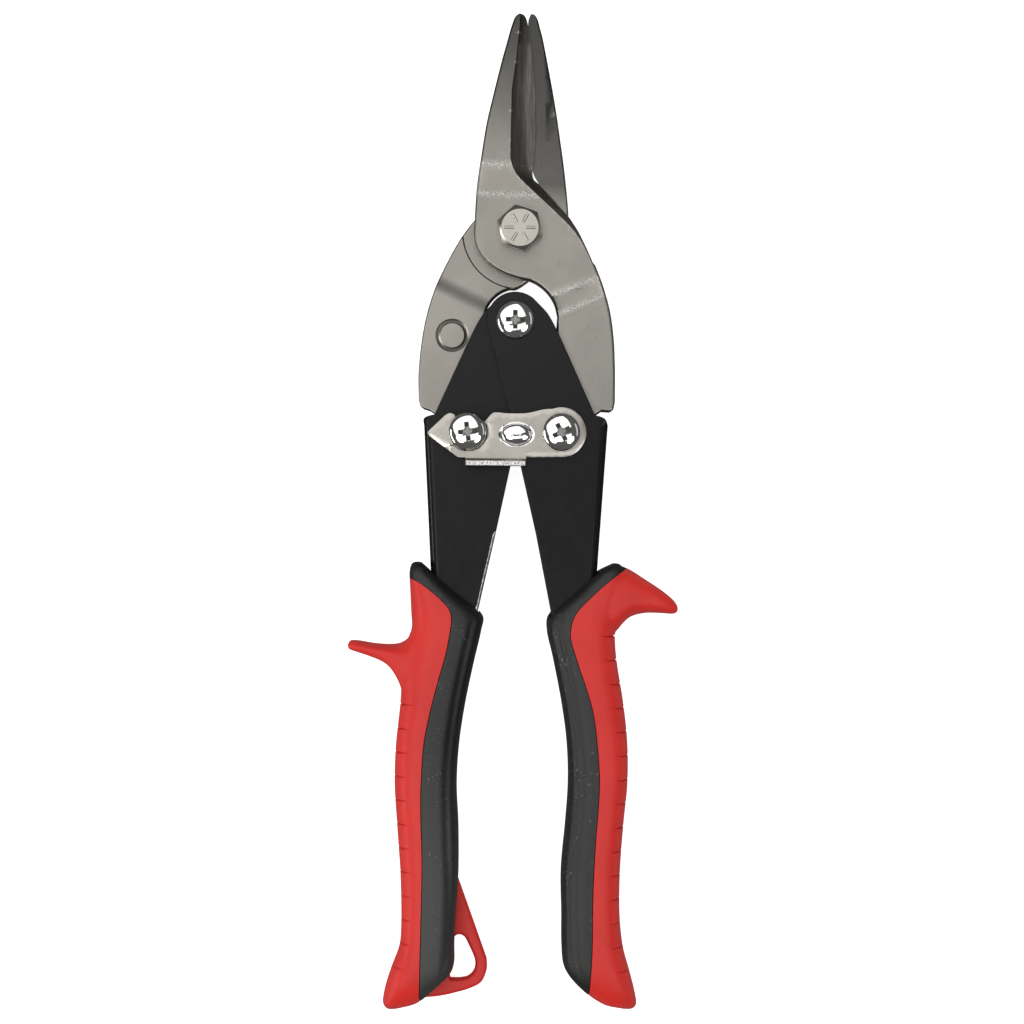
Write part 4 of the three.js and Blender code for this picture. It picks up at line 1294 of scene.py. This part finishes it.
RIGHT_GUARD = [
    (22, -100.5, -84.8, 9.0), (25.6, -100.2, -83.4, 8.8), (27.4, -98.2, -83.9, 8.5),
    (29.5, -96.4, -84.8, 8.2), (33, -95.5, -87.0, 7.4), (37, -95.5, -89.6, 6.6),
    (40, -95.7, -92.0, 5.4), (41.2, -95.2, -93.6, 4.4),
]
LEFT_SEAM = [
    (-29, -86.4), (-25.5, -87.2), (-23.0, -88.3), (-20, -90.5), (-17, -93.2), (-15.7, -94.9), (-15.2, -97.0),
    (-15.4, -99.4), (-16.5, -105.6), (-18.4, -112.5), (-20.6, -121.4), (-21.9, -129), (-22.4, -138.2),
    (-22.4, -146), (-22.0, -158), (-22.2, -174), (-22.5, -191.5),
]
RIGHT_SEAM = [
    (29, -83.9), (28.0, -84.4), (24.4, -87), (21.4, -89.5), (18.5, -92.3), (16.3, -94.6), (14.9, -96.9),
    (14.3, -99.6), (14.4, -102.2), (16.6, -109.2), (18.2, -113.7), (19.9, -119.6), (21.0, -127),
    (21.7, -135.9), (21.5, -143), (20.8, -153), (20.3, -165.5), (20.2, -179), (19.6, -189.7),
]
LEFT_CREASE = [
    (-10.1, -93), (-10.1, -98), (-12, -106.6), (-14.3, -118.5), (-15.8, -130.4), (-16.2, -140),
    (-15.9, -152), (-15.4, -164), (-15.6, -178), (-17.0, -186),
]
RIGHT_CREASE = [
    (11.4, -96), (11.0, -101), (12.6, -108), (14.9, -119), (16.4, -130), (16.7, -140), (16.0, -150),
    (15.1, -161), (15.2, -172), (15.6, -181), (17.4, -187),
]
CREASE_TOP = -95
CREASE_END = -187
CREASE_DEPTH = 0.75
WELT_HEIGHT = 0.35
LOOP_HIGH = 6.6
LOOP_LOW = 2.6
GRIP_ANGLE = math.radians(38)
GRIP_STEP = 0.9
SEAM_GAP = 0.1
POCKET_GAP = 0.3
SQUARENESS = 0.62
RIB_PITCH = 5.94


def section_at(rows, y):
    """Left side, right side and half thickness of a grip at one height."""
    order = rows[:, 0].argsort()
    return [np.interp(y, rows[order, 0], rows[order, column]) for column in (1, 2, 3)]


def squircle(angle):
    """A point on a rounded square of half width 1."""
    cos, sin = math.cos(angle), math.sin(angle)
    return math.copysign(abs(cos) ** SQUARENESS, cos), math.copysign(abs(sin) ** SQUARENESS, sin)


def grip_body(name, stations, crease, side):
    """A grip's shaft, with a crease down its faces and a low welt inwards of it."""
    rows = smooth_line(stations, GRIP_STEP)
    line = smooth_line(crease, GRIP_STEP)
    order = line[:, 1].argsort()
    rings = []
    for y, left, right, half in rows:
        centre, reach = (left + right) / 2, (right - left) / 2
        valley = np.interp(y, line[order, 1], line[order, 0])
        fade = np.clip(min((CREASE_TOP - y) / 4, (y - CREASE_END) / 5), 0, 1)
        ring = []
        for angle in np.linspace(0, 2 * math.pi, 96, endpoint=False):
            across, up = squircle(angle)
            x = centre + across * reach
            inward = (valley - x) * side
            welt = WELT_HEIGHT * math.exp(-(((inward - 1.5) / 0.8) ** 2))
            depth = CREASE_DEPTH * math.exp(-(((x - valley) / 0.75) ** 2)) - welt
            lift = up * half * (1 - fade * abs(up) * depth / half)
            ring.append((x, y, HALF_GRIP + np.clip(lift, -HALF_GRIP, HALF_GRIP)))
        rings.append(ring)
    return loft(name, rings, HANDLES)


def guard_body(stations, side):
    """The guard or spur that stands out sideways from a grip."""
    rings = []
    for x, low, high, half in smooth_line(stations, GRIP_STEP):
        ring = []
        for angle in np.linspace(0, 2 * math.pi, 72, endpoint=False):
            along, up = squircle(angle)
            ring.append((x, (low + high) / 2 + side * along * (high - low) / 2, HALF_GRIP + up * half))
        rings.append(ring)
    return loft("guard", rings, HANDLES)


def melt(piece, voxel=0.45, rounds=7):
    """Fuses a joined body into one even skin and softens its inner corners."""
    remesh = piece.modifiers.new("remesh", "REMESH")
    remesh.mode = "VOXEL"
    remesh.voxel_size = voxel * MM
    soften = piece.modifiers.new("soften", "SMOOTH")
    soften.factor = 0.5
    soften.iterations = rounds
    return apply_modifiers(piece)


def seam_prism(seam, side, shift):
    """Everything on the red side of a seam, moved sideways to leave a joint line."""
    line = [(x + shift, y) for x, y in seam]
    far, top, foot = 60 * side, -70, -200
    before = straight_runs([(far, top), (line[0][0], top), line[0]])
    after = straight_runs([line[-1], (line[-1][0], foot), (far, foot), (far, top)])
    loop = Loop([*before, (line, 0, 0), *after], step=0.6)
    if side < 0:
        loop = reversed_loop(loop)
    return plate("prism", [loop], 25.0, -5.0, HANDLES, grid=60)


def pocket(side):
    """The room in a grip for its handle."""
    loop = reversed_loop(handle_loop(RIGHT_OUTER_EDGE, LEFT_INNER_SIDE, POCKET_GAP, 0.0, 0.0, 0.0))
    matrix = HANDLES if side > 0 else HANDLES @ TURNED_OVER
    return plate("pocket", [loop], CHANNEL_HIGH + POCKET_GAP, CHANNEL_LOW - POCKET_GAP, matrix, grid=60)


def rib_cuts(stations, side, lowest, count):
    """V grooves round the outer side of a red shell, joined into one tool."""
    rows = smooth_line(stations, GRIP_STEP)
    tool = None
    for step in range(count):
        y = lowest + RIB_PITCH * step
        left, right, half = section_at(rows, y)
        centre, reach = (left + right) / 2, (right - left) / 2
        angles = np.radians(np.linspace(-64, 64, 44))
        path = np.array([squircle(a) for a in angles]) * (reach, half)
        path[:, 0] *= side
        path[:, 0] += centre
        path[:, 1] += HALF_GRIP
        tangent = np.gradient(path, axis=0)
        tangent /= np.linalg.norm(tangent, axis=1)[:, None]
        normal = np.stack([tangent[:, 1], -tangent[:, 0]], 1) * side
        rings = []
        for point, out, angle in zip(path, normal, angles):
            depth = 0.85 * math.cos(angle) ** 1.3 - 0.2
            deep = point - out * depth
            proud = point + out * 0.7
            ring = [(deep[0], y, deep[1]), (proud[0], y + 0.62, proud[1]), (proud[0], y - 0.85, proud[1])]
            rings.append(ring if side > 0 else ring[::-1])
        groove = loft("groove", rings, HANDLES)
        tool = groove if tool is None else combine(tool, groove, "UNION")
    return tool


def hang_loop():
    """The red loop at the foot of the left grip."""
    rim = 0.9
    outline = [
        [(-23.4, -174), (-23.4, -193.6)],
        [(-23.4, -193.6), (-17.6, -193.0), (-12.9, -191.9), (-10.6, -191.2), (-8.0, -190.0), (-6.7, -188.5),
         (-5.9, -185.9), (-6.0, -183.6)],
        [(-6.0, -183.6), (-14.0, -161.5)],
        [(-14.0, -161.5), (-23.4, -174)],
    ]
    opening = [
        [(-14.2, -177.9), (-14.2, -184.6)],
        [(-14.2, -184.6), (-15.4, -187.5)],
        [(-15.4, -187.5), (-15.1, -188.6)],
        [(-15.1, -188.6), (-12.6, -188.6), (-10.6, -188.1), (-9.2, -186.6), (-8.85, -184.6), (-9.2, -182.9),
         (-10.7, -179.6), (-11.7, -177.9), (-13.0, -177.4), (-14.2, -177.9)],
    ]
    shape, hole = [Loop([(curve, rim, rim) for curve in curves]) for curves in (outline, opening)]
    return plate("hang_loop", [shape, reversed_loop(hole)], LOOP_HIGH, LOOP_LOW, HANDLES, grid=1.2)


def loop_bed():
    """The room in the black insert for the loop's root."""
    around = [(-26, -176), (-26, -197), (-5, -192), (-4, -183), (-12, -157), (-26, -176)]
    shape = Loop(straight_runs(around), step=5)
    return plate("bed", [shape], LOOP_HIGH + POCKET_GAP, LOOP_LOW - POCKET_GAP, HANDLES, grid=60)


def grip(side, stations, guard_stations, crease, seam, ribs):
    """A red shell and its black insert, cut from one body along the seam."""
    name = "right_grip" if side > 0 else "left_grip"
    body = grip_body(name + "_shell", stations, crease, side)
    combine(body, guard_body(guard_stations, side), "UNION")
    melt(body)
    combine(body, pocket(side), "DIFFERENCE")
    insert = copy_of(body, name + "_insert_rubber")
    combine(body, seam_prism(seam, side, side * SEAM_GAP), "INTERSECT")
    combine(insert, seam_prism(seam, side, -side * SEAM_GAP), "DIFFERENCE")
    combine(body, rib_cuts(stations, side, *ribs), "DIFFERENCE")
    if side < 0:
        combine(body, hang_loop(), "UNION")
        combine(insert, loop_bed(), "DIFFERENCE")
    dress(shade(body, GRIP_ANGLE), name, "red_plastic")
    dress(shade(insert, GRIP_ANGLE), name + "_insert", "black_rubber")


grip(1, RIGHT_GRIP, RIGHT_GUARD, RIGHT_CREASE, RIGHT_SEAM, (-184.3, 15))
grip(-1, LEFT_GRIP, LEFT_GUARD, LEFT_CREASE, LEFT_SEAM, (-183.8, 12))


# ---- Floor, light and camera ----

FLOOR_HALF = 3.0
FLOOR_DROP = 0.0003
TOOL_PLACE = (0, -0.07, 0.01)
CAMERA_PLACE = (-0.00142, -0.07045, 0.610)
CAMERA_LENS = 83.95
CAMERA_ROLL = math.radians(0.45)


def add_floor():
    size = FLOOR_HALF
    mesh = bpy.data.meshes.new("floor")
    places = [(-size, -size, 0), (size, -size, 0), (size, size, 0), (-size, size, 0)]
    mesh.from_pydata(places, [], [(0, 1, 2, 3)])
    floor = bpy.data.objects.new("floor", mesh)
    floor.location.z = -FLOOR_DROP
    bpy.context.scene.collection.objects.link(floor)
    look = Surface("pale_floor", Roughness=0.9, Specular_IOR_Level=0.0)
    look.shader.inputs["Base Color"].default_value = (0.5, 0.5, 0.5, 1)
    look.shader.inputs["Emission Color"].default_value = (1, 1, 1, 1)
    look.shader.inputs["Emission Strength"].default_value = 0.92
    mesh.materials.append(look.material)
    floor.visible_glossy = False


def add_softbox(name, place, size, radiance, shape="RECTANGLE", seen_in_gloss=True):
    """A flat light of a given brightness that faces the tool."""
    width, height = size
    lamp = bpy.data.lights.new(name, "AREA")
    lamp.shape = shape
    lamp.size = width
    if shape == "RECTANGLE":
        lamp.size_y = height
    lamp.energy = radiance * math.pi * width * height
    holder = bpy.data.objects.new(name, lamp)
    bpy.context.scene.collection.objects.link(holder)
    holder.location = place
    holder.rotation_mode = "QUATERNION"
    holder.rotation_quaternion = (Vector(TOOL_PLACE) - Vector(place)).to_track_quat("-Z", "Y")
    holder.visible_camera = False
    holder.visible_glossy = seen_in_gloss


def add_world(brightness):
    world = bpy.data.worlds.new("studio")
    world.use_nodes = True
    background = world.node_tree.nodes["Background"]
    background.inputs["Color"].default_value = (brightness, brightness, brightness, 1)
    bpy.context.scene.world = world


def add_camera():
    lens = bpy.data.cameras.new("camera")
    lens.lens = CAMERA_LENS
    lens.sensor_width = 36
    camera = bpy.data.objects.new("camera", lens)
    bpy.context.scene.collection.objects.link(camera)
    camera.location = CAMERA_PLACE
    camera.rotation_euler = (0, 0, CAMERA_ROLL)
    bpy.context.scene.camera = camera


add_floor()
add_world(0.10)
add_softbox("main_box", (-0.28, 0.45, 1.10), (1.65, 1.25), 1.35)
add_softbox("lower_left_disc", (-0.38, -0.40, 1.0), (0.46, 0.46), 2.6, "DISK")
add_softbox("lower_right_disc", (0.56, -0.46, 0.95), (0.46, 0.46), 3.0, "DISK")
add_softbox("near_box", (0.05, -0.33, 1.15), (1.1, 0.30), 1.6)
add_softbox("left_strip", (-1.0, -0.35, 0.35), (0.9, 0.22), 6.0)
add_softbox("right_strip", (1.0, 0.15, 0.60), (0.8, 0.30), 0.6)
add_softbox("fill", (0.1, -0.1, 1.6), (1.8, 1.8), 0.62, seen_in_gloss=False)
add_camera()
bpy.context.scene.view_settings.view_transform = "Standard"
